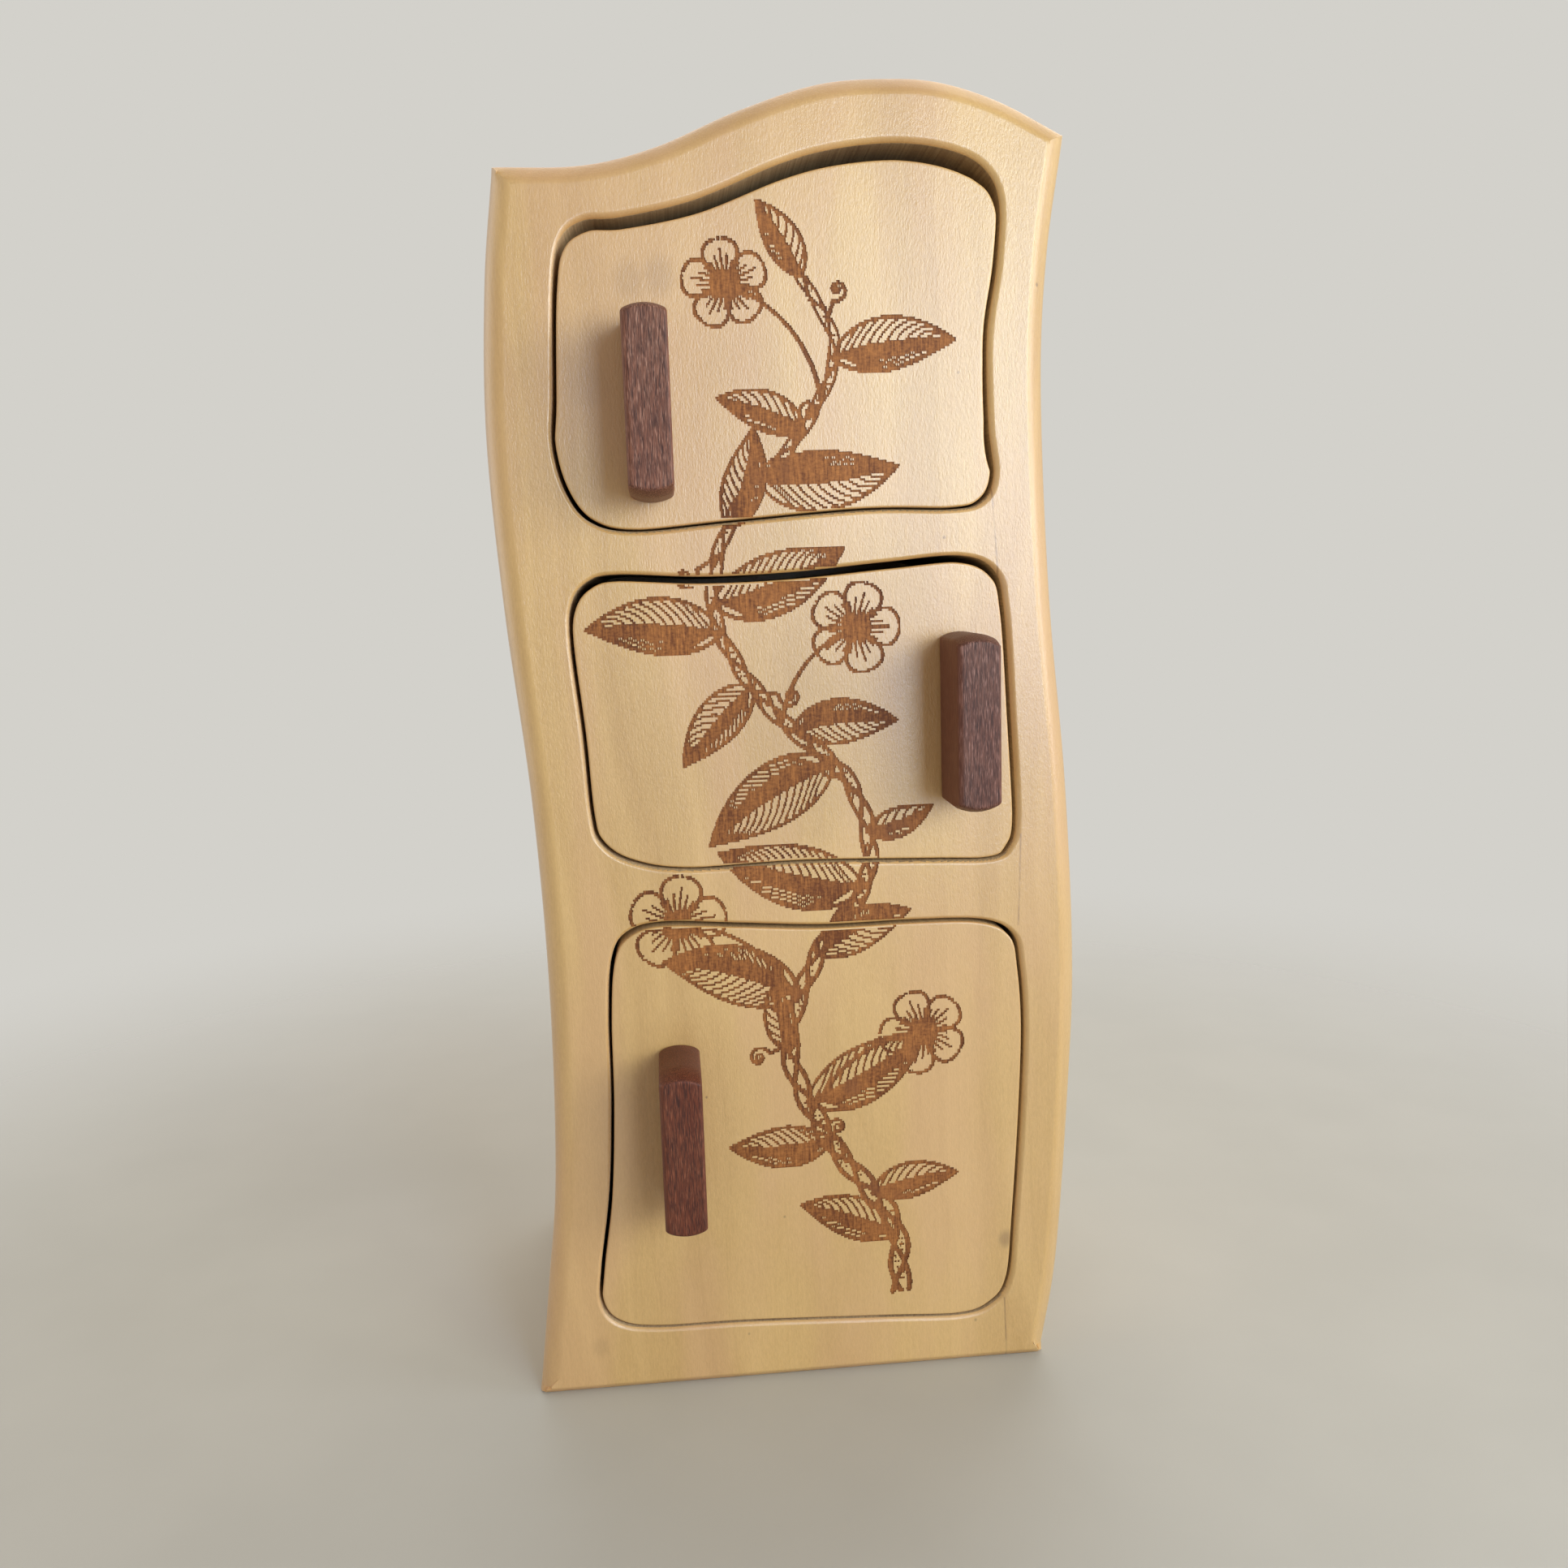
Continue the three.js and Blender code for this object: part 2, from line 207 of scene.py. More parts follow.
def triangulate(points: np.ndarray, edges: np.ndarray, keep: "Region") -> tuple[np.ndarray, np.ndarray]:
    """Fills a region with triangles that keep every given edge.

    Args:
        points: Points (x, z) that become corners.
        edges: Pairs of point numbers that no triangle crosses.
        keep: The region whose triangles stay.

    Returns:
        The corners, and the triangles as rows of corner numbers, anticlockwise.
    """
    found = delaunay_2d_cdt(points.tolist(), edges.tolist(), [], 0, 1e-5, False)
    corners = np.array([tuple(corner) for corner in found[0]])
    triangles = np.array(found[2])
    a, b, c = (corners[triangles[:, k]] for k in range(3))
    area = (b[:, 0] - a[:, 0]) * (c[:, 1] - a[:, 1]) - (b[:, 1] - a[:, 1]) * (c[:, 0] - a[:, 0])
    triangles[area < 0] = triangles[area < 0][:, ::-1]
    kept = triangles[(np.abs(area) > 1e-9) & keep.holds((a + b + c) / 3)]
    used, numbers = np.unique(kept, return_inverse=True)
    return corners[used], numbers.reshape(-1, 3)


def rim_edges(triangles: np.ndarray) -> np.ndarray:
    """The directed edges that only one triangle has, with that triangle on their left."""
    edges = triangles[:, [0, 1, 1, 2, 2, 0]].reshape(-1, 2)
    base = triangles.max() + 1
    return edges[~np.isin(edges[:, 0] * base + edges[:, 1], edges[:, 1] * base + edges[:, 0])]


@dataclass
class Region:
    """A region of the front plane: inside one outline and outside any others."""

    outer: np.ndarray
    holes: list[np.ndarray] = field(default_factory=list)

    def holds(self, points: np.ndarray) -> np.ndarray:
        """Whether each point is in the region."""
        found = inside(points, self.outer)
        for hole in self.holes:
            found &= ~inside(points, hole)
        return found

    def rim_distance(self, points: np.ndarray) -> np.ndarray:
        """The distance from each point to the nearest rim."""
        return np.min([wall_distance(points, rim) for rim in (self.outer, *self.holes)], axis=0)


@dataclass(frozen=True)
class Easing:
    """How wide an edge is eased where its wall looks left, right, up and down, and how flat it is.

    Flat goes from 0, a quarter circle, to 1, a bevel at 45 degrees, and may differ on the left. Soft is
    the share of the width over which a bevel starts.
    """

    left: float
    right: float
    up: float
    down: float
    flat: float
    flat_left: float
    soft: float = 0.35
    support: float = 0.3

    def profile(self, outline: np.ndarray) -> tuple[np.ndarray, np.ndarray]:
        """The width and the flatness at each point, shared out by the squares of the wall's direction."""
        _, looks = wall_shift(outline)
        left, up = looks[:, 0] < 0, looks[:, 1] > 0
        across, upright = looks.T**2
        widths = np.where(left, self.left, self.right) * across + np.where(up, self.up, self.down) * upright
        return widths, np.where(left, self.flat_left, self.flat) * across + self.flat * upright


@dataclass
class Rim:
    """A rim of a face that is eased.

    A spot that is s nearer to the outline than the width w lies w - sqrt(w^2 - s^2) behind the face's
    plane on a quarter circle. On a bevel it lies s^2 / 2a behind it as far as s = a, and s - a/2 from
    there on. The rim lies between the two.
    """

    outline: np.ndarray
    easing: Easing
    steps: int
    hole: bool = False

    @cached_property
    def profile(self) -> tuple[np.ndarray, np.ndarray]:
        """The width and the flatness at each point of the outline."""
        return self.easing.profile(self.outline)

    def drop(self, points: np.ndarray) -> np.ndarray:
        """How far the face lies behind its plane at each point."""
        distance, place = wall_foot(points, self.outline)
        count = len(self.outline)
        width, flat = (np.interp(place, np.arange(count), size, period=count) for size in self.profile)
        short = np.clip(width - distance, 0, width)
        circle = width - np.sqrt(width**2 - short**2)
        start = width * self.easing.soft
        bevel = np.where(short < start, short**2 / (2 * start), short - start / 2)
        return circle + (bevel - circle) * flat

    def rings(self) -> list[np.ndarray]:
        """Rings of points on the easing, from the outline to just past it.

        A ring is the outline moved by a distance. Where walls meet in a sharp corner, points that
        would come closer to another wall than that distance are dropped.
        """
        shares = (1 - np.cos(np.linspace(0, math.pi, self.steps + 1)[1:])) / 2
        widths, _ = self.profile
        found = [self.outline]
        for distance in [*np.outer(shares, widths), widths + self.easing.support]:
            ring = inset(self.outline, -distance if self.hole else distance)
            found.append(ring[wall_distance(ring, self.outline) > distance * 0.995 - 1e-4])
        return found


@dataclass
class Shell:
    """A mesh in the making: points in millimetres, triangles, and the finish number of each triangle."""

    points: np.ndarray
    triangles: np.ndarray
    finish: np.ndarray


@dataclass
class Stroke:
    """A drawn line: its points (x, z), and half its width at each point."""

    points: np.ndarray
    half_width: np.ndarray


def stroke(points: np.ndarray, start: float, end: float | None = None) -> Stroke:
    """A line through points whose half width goes evenly from start to end."""
    return Stroke(points, np.linspace(start, start if end is None else end, len(points)))


@dataclass
class Leaf:
    """An ovate leaf. Its midrib bows sideways, and the veins run forward from it to the edge."""

    foot: tuple[float, float]
    heading: float
    length: float
    share: float = 0.42
    bow: float = 0.18
    shaded: int = -1

    def place(self, along: np.ndarray, across: np.ndarray) -> np.ndarray:
        """Points of the leaf.

        The midrib is foot + length * (s * forward + bow * s^2 * left). The leaf's half width is
        proportional to s^0.75 * (1 - s).

        Args:
            along: The share s of the length, from the foot to the tip.
            across: The share of the half width, positive to the left.

        Returns:
            One row (x, z) for each pair of shares.
        """
        angle = math.radians(self.heading)
        forward = np.array([math.cos(angle), math.sin(angle)])
        left = np.array([-forward[1], forward[0]])
        s = along.reshape(-1, 1)
        midrib = np.array(self.foot) + self.length * (s * forward + self.bow * s**2 * left)
        slope = unit(forward + 2 * self.bow * s * left)
        half = self.share * self.length / 2 * s**0.75 * (1 - s) / 0.303
        return midrib + across.reshape(-1, 1) * half * np.column_stack([-slope[:, 1], slope[:, 0]])

    def fan(self, side: int, count: int, reach: float, lead: float) -> np.ndarray:
        """Points of side veins: each runs forward by lead while it crosses reach of the half width."""
        first = np.linspace(0.05, 0.86, count)[:, None]
        q = np.linspace(0, 1, 46)[None]
        along = np.minimum(first + lead * q**1.4, 1)
        return self.place(along.ravel(), (side * reach * q + 0 * first).ravel())

    def strokes(self) -> list[Stroke]:
        """The leaf's edges, midrib, veins and the hatching of its shaded half."""
        s = np.linspace(0, 1, 160)
        bright = -self.shaded
        return [
            stroke(self.place(s, 0 * s + bright), 0.42),
            stroke(self.place(s, 0 * s + self.shaded), 0.55, 0.4),
            stroke(self.place(s * 0.97, 0 * s), 0.7, 0.3),
            stroke(self.fan(bright, round(self.length / 2.5), 0.93, 0.2), 0.27),
            stroke(self.fan(self.shaded, round(self.length / 1.7), 0.98, 0.2), 0.29),
            stroke(self.fan(self.shaded, round(self.length / 0.8), 0.5, 0.12), 0.28),
        ]


@dataclass
class Petal(Leaf):
    """A petal: a leaf shape that is widest near its tip, with a few lines from its foot."""

    def place(self, along: np.ndarray, across: np.ndarray) -> np.ndarray:
        """Points of the petal, whose half width is proportional to s^1.1 * (1 - s)^0.5."""
        angle = math.radians(self.heading)
        forward = np.array([math.cos(angle), math.sin(angle)])
        s = along.reshape(-1, 1)
        half = self.share * self.length / 2 * s**1.1 * np.maximum(1 - s, 0) ** 0.5 / 0.417
        return np.array(self.foot) + self.length * s * forward + across.reshape(-1, 1) * half * np.array(
            [[-forward[1], forward[0]]]
        )

    def strokes(self) -> list[Stroke]:
        """The petal's edges and the lines from its foot."""
        s = np.linspace(0, 1, 120)
        short = np.linspace(0.05, 0.62, 60)
        lines = [stroke(self.place(s, 0 * s + side), 0.45) for side in (-1, 1)]
        for across, reach in ((-0.7, 0.8), (-0.35, 1.0), (0.0, 1.25), (0.35, 1.0), (0.7, 0.8)):
            lines.append(stroke(self.place(short * reach, 0 * short + across), 0.42, 0.25))
        return lines


@dataclass
class VineDrawing:
    """A climbing vine with leaves, blossoms and tendrils, as strokes on the front plane.

    The stem is three strands that wind round one path: each keeps to the path by a sine of the way
    along it, a third of a turn apart.
    """

    path: tuple[tuple[float, float], ...] = (
        (27, 21), (25, 40), (10, 62), (1, 86), (8, 108), (21, 128), (17, 150), (-1, 168),
        (-13, 190), (-8, 212), (8, 230), (16, 248), (8, 265),
    )
    strand_swing: float = 1.9
    strand_turn: float = 30
    strand_half: float = 0.55
    leaf_spots: tuple[tuple[float, float, float, float, int], ...] = (
        (0.055, 150, 25, 0.15, 1), (0.10, 22, 21, -0.2, -1), (0.165, 190, 24, -0.16, 1),
        (0.205, 20, 33, 0.16, -1), (0.255, 110, 17, -0.15, -1), (0.305, 152, 33, 0.18, -1),
        (0.345, 35, 24, -0.2, 1), (0.415, 172, 35, -0.14, 1), (0.465, 8, 16, 0.2, -1),
        (0.53, 200, 34, 0.2, -1), (0.575, 14, 24, -0.18, 1), (0.625, 218, 24, 0.16, 1),
        (0.675, 165, 30, 0.2, 1), (0.70, 12, 32, 0.17, -1), (0.765, 62, 22, 0.2, -1),
        (0.81, -8, 31, 0.22, 1), (0.865, 150, 20, 0.18, 1), (0.925, 20, 27, -0.22, -1),
        (0.995, 112, 18, 0.15, 1),
    )
    blossom_spots: tuple[tuple[float, float, float, float], ...] = (
        (-24.5, 118, 11.5, 10), (33.5, 88, 10.5, 40), (19, 186, 10.5, 0), (-8, 262, 9.5, 25),
    )
    tendril_spots: tuple[tuple[float, float, float, int], ...] = (
        (0.14, 100, 9, 1), (0.26, 200, 8, -1), (0.38, 60, 9, -1), (0.50, 130, 9, 1), (0.62, -10, 8, -1),
        (0.74, 210, 9, 1), (0.85, 60, 8, 1), (0.955, 70, 7, -1),
    )
    petals: int = 5
    pace: float = 0.2

    @cached_property
    def route(self) -> np.ndarray:
        """The stem's path as close points with even steps."""
        points = smooth_curve(np.array(self.path, float), 60, False)
        way = np.concatenate([[0], np.cumsum(np.linalg.norm(np.diff(points, axis=0), axis=1))])
        even = np.arange(0, way[-1], self.pace)
        return np.column_stack([np.interp(even, way, points[:, k]) for k in (0, 1)])

    def on_stem(self, share: float) -> np.ndarray:
        """The point of the path at a share of its length."""
        return self.route[min(int(share * len(self.route)), len(self.route) - 1)]

    def stem(self) -> list[Stroke]:
        """The three strands, and short hatching in the gaps between them."""
        ahead = unit(np.gradient(self.route, axis=0))
        side = np.column_stack([-ahead[:, 1], ahead[:, 0]])
        way = np.arange(len(self.route)) * self.pace
        taper = np.interp(way, [0, way[-1]], [1.25, 0.6])
        lines = []
        for third in range(3):
            swing = np.sin(2 * math.pi * (way / self.strand_turn + third / 3)) * self.strand_swing * taper
            lines.append(Stroke(self.route + side * swing[:, None], self.strand_half * taper))
        ticks = (way % 1.5) < 0.45
        hatch = self.route[ticks] + side[ticks] * (1.1 * np.sin(way[ticks] * 5))[:, None]
        return [*lines, stroke(hatch, 0.3)]

    def tendril(self, start: np.ndarray, heading: float, size: float, turn: int) -> Stroke:
        """A curl: a short way out, then a spiral whose radius shrinks as e to the angle."""
        angle = np.linspace(0, 3.6 * math.pi, 500)
        radius = size * 0.36 * np.exp(-0.17 * angle)
        base = math.radians(heading)
        out = np.array([math.cos(base), math.sin(base)])
        middle = start + out * size
        at = base + math.pi - turn * angle
        curl = middle + radius[:, None] * np.column_stack([np.cos(at), np.sin(at)])
        lead = start + (curl[0] - start) * np.linspace(0, 1, 40)[:, None]
        return stroke(np.vstack([lead, curl]), 0.5, 0.28)

    def blossom(self, x: float, z: float, radius: float, turn: float) -> list[Stroke]:
        """A five-petalled flower with a ring and dots at its middle."""
        lines = []
        for number in range(self.petals):
            heading = turn + number * 360 / self.petals
            lines += Petal((x, z), heading, radius, share=0.92).strokes()
        around = np.linspace(0, 2 * math.pi, 120)
        ring = np.column_stack([np.cos(around), np.sin(around)])
        lines.append(stroke(np.array([x, z]) + ring * radius * 0.2, 0.5))
        lines.append(stroke(np.array([x, z]) + ring[::20] * radius * 0.32, 0.5))
        lines.append(stroke(np.array([[x, z]]), 0.7))
        return lines

    def stalk(self, start: np.ndarray, end: tuple[float, float], bow: float) -> Stroke:
        """A thin bowed stalk from the stem to a blossom."""
        t = np.linspace(0, 1, 200)[:, None]
        run = np.array(end) - start
        side = np.array([-run[1], run[0]])
        return stroke(start + run * t + side * bow * 4 * t * (1 - t), 0.6, 0.42)

    def strokes(self) -> list[Stroke]:
        """Every stroke of the drawing."""
        lines = self.stem()
        for share, heading, length, bow, shaded in self.leaf_spots:
            foot = tuple(self.on_stem(share))
            lines += Leaf(foot, heading, length, bow=bow, shaded=shaded).strokes()
        for x, z, radius, turn in self.blossom_spots:
            near = np.argmin(np.hypot(self.route[:, 0] - x * 0.35, self.route[:, 1] - z + 16))
            lines.append(self.stalk(self.route[near], (x, z), 0.14 if x > 0 else -0.14))
            lines += self.blossom(x, z, radius, turn)
        for share, heading, size, turn in self.tendril_spots:
            lines.append(self.tendril(self.on_stem(share), heading, size, turn))
        return lines


@dataclass
class Burning:
    """The raster that a drawing is burnt with: rows of cells over the front plane."""

    drawing: VineDrawing
    left: float = -70
    bottom: float = 0
    column: float = 0.25
    row: float = 0.5
    columns: int = 560
    rows: int = 612
    depth: float = 0.28
    margin: float = 0.4
    fade: float = 0.5
    least_half_width: float = 0.27
    passes: int = 12

    @cached_property
    def cells(self) -> np.ndarray:
        """Whether each cell is burnt: its middle is within a stroke's half width of the stroke.

        Specks that are left between burnt cells in both ways are burnt too. Where two burnt cells would
        meet at a corner only, a third joins them.
        """
        burnt = np.zeros((self.rows, self.columns), bool)
        lines = self.drawing.strokes()
        points = np.vstack([line.points for line in lines])
        half = np.concatenate([line.half_width for line in lines])[:, None]
        down, across = np.mgrid[-3:4, -6:7].reshape(2, 1, -1)
        rows = np.floor((points[:, 1:] - self.bottom) / self.row).astype(int) + down
        columns = np.floor((points[:, :1] - self.left) / self.column).astype(int) + across
        x = self.left + (columns + 0.5) * self.column - points[:, :1]
        z = self.bottom + (rows + 0.5) * self.row - points[:, 1:]
        near = x * x + z * z < np.maximum(half, self.least_half_width) ** 2
        hit = near & (rows >= 0) & (rows < self.rows)
        burnt[rows[hit], columns[hit]] = True
        burnt |= self.between(burnt, 2, 1) & self.between(burnt, 1, 0)
        return self.without_corner_touch(burnt, True)

    @staticmethod
    def between(burnt: np.ndarray, reach: int, axis: int) -> np.ndarray:
        """Whether burnt cells lie within reach of each cell on both sides of it along an axis."""
        before, after = (
            np.any([np.roll(burnt, way * step, axis) for step in range(1, reach + 1)], axis=0)
            for way in (-1, 1)
        )
        return before & after

    def without_corner_touch(self, burnt: np.ndarray, filled: bool) -> np.ndarray:
        """The cells with a cell filled, or cleared, wherever two of them touch at one corner only."""
        for _ in range(self.passes):
            a, b, c, d = burnt[:-1, :-1], burnt[:-1, 1:], burnt[1:, :-1], burnt[1:, 1:]
            rising, falling = a & d & ~b & ~c, b & c & ~a & ~d
            if not (rising.any() or falling.any()):
                break
            if filled:
                b |= rising
                a |= falling
            else:
                a &= ~rising
                b &= ~falling
        return burnt

    def within(self, region: Region) -> np.ndarray:
        """The burnt cells that a face shows, kept clear of its rims."""
        row, column = np.nonzero(self.cells)
        middles = np.column_stack([
            self.left + (column + 0.5) * self.column, self.bottom + (row + 0.5) * self.row,
        ])
        held = region.holds(middles)
        held[held] = region.rim_distance(middles[held]) > self.margin
        burnt = np.zeros_like(self.cells)
        burnt[row[held], column[held]] = True
        return self.without_corner_touch(burnt, False)

    def steps(self, burnt: np.ndarray) -> tuple[np.ndarray, np.ndarray]:
        """The stepped outlines of the burnt cells, with straight runs kept whole.

        Args:
            burnt: The burnt cells.

        Returns:
            The corner points (x, z), and the edges between them.
        """
        padded = np.pad(burnt, 1)
        ends = []
        for flip in (False, True):
            grid = padded.T if flip else padded
            line = grid[1:, 1:-1] != grid[:-1, 1:-1]
            wide = np.pad(line, ((0, 0), (1, 1)))
            first = np.argwhere(wide[:, 1:-1] & ~wide[:, :-2])
            last = np.argwhere(wide[:, 1:-1] & ~wide[:, 2:]) + [0, 1]
            pair = np.stack([first, last], axis=1)
            ends.append(pair[..., ::-1] if flip else pair)
        nodes = np.vstack(ends)
        flat = nodes.reshape(-1, 2)
        corners, numbers = np.unique(flat, axis=0, return_inverse=True)
        points = np.column_stack([
            self.left + corners[:, 1] * self.column, self.bottom + corners[:, 0] * self.row,
        ])
        return points, numbers.reshape(-1, 2)

    def holds(self, burnt: np.ndarray, points: np.ndarray) -> np.ndarray:
        """Whether each point lies on a burnt cell."""
        row = np.clip(((points[:, 1] - self.bottom) / self.row).astype(int), 0, self.rows - 1)
        column = np.clip(((points[:, 0] - self.left) / self.column).astype(int), 0, self.columns - 1)
        return burnt[row, column]


@dataclass
class Board:
    """A board seen from the front: a region, its rounded rims, and the depth it runs through.

    The face is one surface over the region. Behind each rim a straight wall goes back to the far side.
    """

    region: Region
    rims: list[Rim]
    face: float
    far: float
    facing: Facing = Facing.FRONT
    burning: Burning | None = None

    def drop(self, points: np.ndarray) -> np.ndarray:
        """How far the face lies behind its plane: the most that any rim asks for."""
        return np.max([np.zeros(len(points)), *(rim.drop(points) for rim in self.rims)], axis=0)

    def face_mesh(self, burnt: np.ndarray | None) -> tuple[np.ndarray, np.ndarray]:
        """The face's corners (x, z) and triangles, kept to the rings of its rims and the burnt steps."""
        dressed = {id(rim.outline) for rim in self.rims}
        rings = [ring for rim in self.rims for ring in rim.rings()]
        rings += [rim for rim in (self.region.outer, *self.region.holes) if id(rim) not in dressed]
        points, edges, count = [], [], 0
        for ring in rings:
            points.append(ring)
            edges.append(ring_edges(len(ring), count))
            count += len(ring)
        if burnt is not None and burnt.any():
            steps, runs = self.burning.steps(burnt)
            points.append(steps)
            edges.append(runs + count)
        return triangulate(np.vstack(points), np.vstack(edges), self.region)

    def shell(self, wall_finish: int = 0, far_finish: int = 0) -> Shell:
        """The closed board.

        Args:
            wall_finish: The finish number of the walls.
            far_finish: The finish number of the far side.

        Returns:
            Its points, triangles and finishes. The face has finish 0, and 1 where it is burnt.
        """
        burnt = self.burning.within(self.region) if self.burning else None
        flat, face = self.face_mesh(burnt)
        y = self.face + self.facing.value * self.drop(flat)
        front = np.column_stack([flat[:, 0], y, flat[:, 1]])
        shell = Shell(front, face, np.zeros(len(face), int))
        rim = rim_edges(face)
        if burnt is not None and burnt.any():
            shell = self.sunk(shell, flat, burnt)
        return self.closed(shell, flat, rim, wall_finish, far_finish)

    def sunk(self, shell: Shell, flat: np.ndarray, burnt: np.ndarray) -> Shell:
        """The face with its burnt cells sunk, and small walls round them.

        The depth fades out near a rim, as the distance to it over the fade.
        """
        marked = self.burning.holds(burnt, flat[shell.triangles].mean(axis=1))
        near = self.region.rim_distance(flat)
        sink = self.burning.depth * np.clip((near - 0.12) / self.burning.fade, 0, 1)
        low = np.unique(shell.triangles[marked])
        low = low[sink[low] > 1e-3]
        lowered = np.arange(len(shell.points))
        lowered[low] = len(shell.points) + np.arange(len(low))
        floor = shell.points[low] + np.outer(sink[low] * self.facing.value, [0, 1, 0])
        rim = rim_edges(shell.triangles[marked])
        inner = rim_edges(shell.triangles[~marked])
        base = len(shell.points)
        shared = np.isin(rim[:, 0] * base + rim[:, 1], inner[:, 1] * base + inner[:, 0])
        a, b = rim[shared].T
        walls = np.vstack([
            np.column_stack([lowered[b], lowered[a], a]), np.column_stack([lowered[b], a, b]),
        ])
        first, second, third = walls.T
        walls = walls[(first != second) & (second != third) & (first != third)]
        triangles = np.where(marked[:, None], lowered[shell.triangles], shell.triangles)
        return Shell(
            np.vstack([shell.points, floor]),
            np.vstack([triangles, walls]),
            np.concatenate([marked.astype(int), np.ones(len(walls), int)]),
        )

    def closed(
        self, shell: Shell, flat: np.ndarray, rim: np.ndarray, wall_finish: int, far_finish: int
    ) -> Shell:
        """The face with its walls and far side.

        Args:
            shell: The face.
            flat: The face's corners before it was sunk.
            rim: Its directed rim edges.
            wall_finish: The finish number of the walls.
            far_finish: The finish number of the far side.

        Returns:
            The closed board, with its faces pointing outwards.
        """
        used, numbers = np.unique(rim, return_inverse=True)
        pairs = numbers.reshape(-1, 2)
        far_points, far_face = triangulate(flat[used], pairs, self.region)
        back = np.column_stack([flat[used][:, 0], np.full(len(used), self.far), flat[used][:, 1]])
        start = len(shell.points)
        a, b = rim.T
        far_a, far_b = pairs.T + start
        walls = np.vstack([np.column_stack([b, a, far_a]), np.column_stack([b, far_a, far_b])])
        order = nearest_rows(far_points, flat[used])
        cap = order[far_face][:, ::-1] + start
        whole = Shell(
            np.vstack([shell.points, back]),
            np.vstack([shell.triangles, walls, cap]),
            np.concatenate([
                shell.finish, np.full(len(walls), wall_finish), np.full(len(cap), far_finish),
            ]),
        )
        if self.facing is Facing.REAR:
            whole.triangles = whole.triangles[:, ::-1]
        return whole


def nearest_rows(wanted: np.ndarray, rows: np.ndarray) -> np.ndarray:
    """For each wanted point, the number of the nearest row."""
    return np.argmin(np.linalg.norm(wanted[:, None] - rows[None], axis=2), axis=1)


def make_piece(
    name: str, shell: Shell, finishes: list[bpy.types.Material], body: Body,
    nodes: list[str], crease: float = 32,
) -> bpy.types.Object:
    """Makes a shell into a piece that rides on a body and stands for CAD nodes.

    Each face also keeps the sizes of its normal's Z and X parts, because end grain shows where it looks
    up or down, and side grain where it looks sideways.

    Args:
        name: The piece's name.
        shell: Its points and triangles, in millimetres.
        finishes: Its materials, in the order of the shell's finish numbers.
        body: The body it rides on.
        nodes: The CAD nodes that it stands for.
        crease: The angle between faces, in degrees, past which an edge is sharp.

    Returns:
        The piece.
    """
    used, corners = np.unique(shell.triangles, return_inverse=True)
    shell = Shell(shell.points[used], corners.reshape(-1, 3), shell.finish)
    mesh = bpy.data.meshes.new(name)
    count = len(shell.triangles)
    mesh.vertices.add(len(used))
    mesh.vertices.foreach_set("co", (shell.points * MM).astype(np.float32).ravel())
    mesh.loops.add(3 * count)
    mesh.loops.foreach_set("vertex_index", shell.triangles.astype(np.int32).ravel())
    mesh.polygons.add(count)
    mesh.polygons.foreach_set("loop_start", np.arange(0, 3 * count, 3, dtype=np.int32))
    mesh.polygons.foreach_set("material_index", shell.finish.astype(np.int32))
    mesh.update(calc_edges=True)
    mesh.polygons.foreach_set("use_smooth", np.ones(count, bool))
    mesh.set_sharp_from_angle(angle=math.radians(crease))
    a, b, c = (shell.points[shell.triangles[:, k]] for k in range(3))
    facing = np.abs(unit(np.cross(b - a, c - a)))
    for title, size in (("end_grain", facing[:, 2]), ("side_grain", facing[:, 0])):
        mesh.attributes.new(title, "FLOAT", "FACE").data.foreach_set("value", size.astype(np.float32))
    for finish in finishes:
        mesh.materials.append(finish)
    piece = bpy.data.objects.new(name, mesh)
    bpy.context.scene.collection.objects.link(piece)
    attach(piece, body.value)
    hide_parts(*nodes)
    log.info("%s: %d triangles on %s", name, count, body.value)
    return piece


Socket = bpy.types.NodeSocket
Colour = tuple[int, int, int]
Triple = tuple[float, float, float]


def linear(colour: Colour) -> tuple[float, float, float, float]:
    """A colour of 0 to 255 as Blender's linear light, with full cover."""
    shares = np.array(colour) / 255
    light = np.where(shares <= 0.04045, shares / 12.92, ((shares + 0.055) / 1.055) ** 2.4)
    return (*(float(share) for share in light), 1.0)


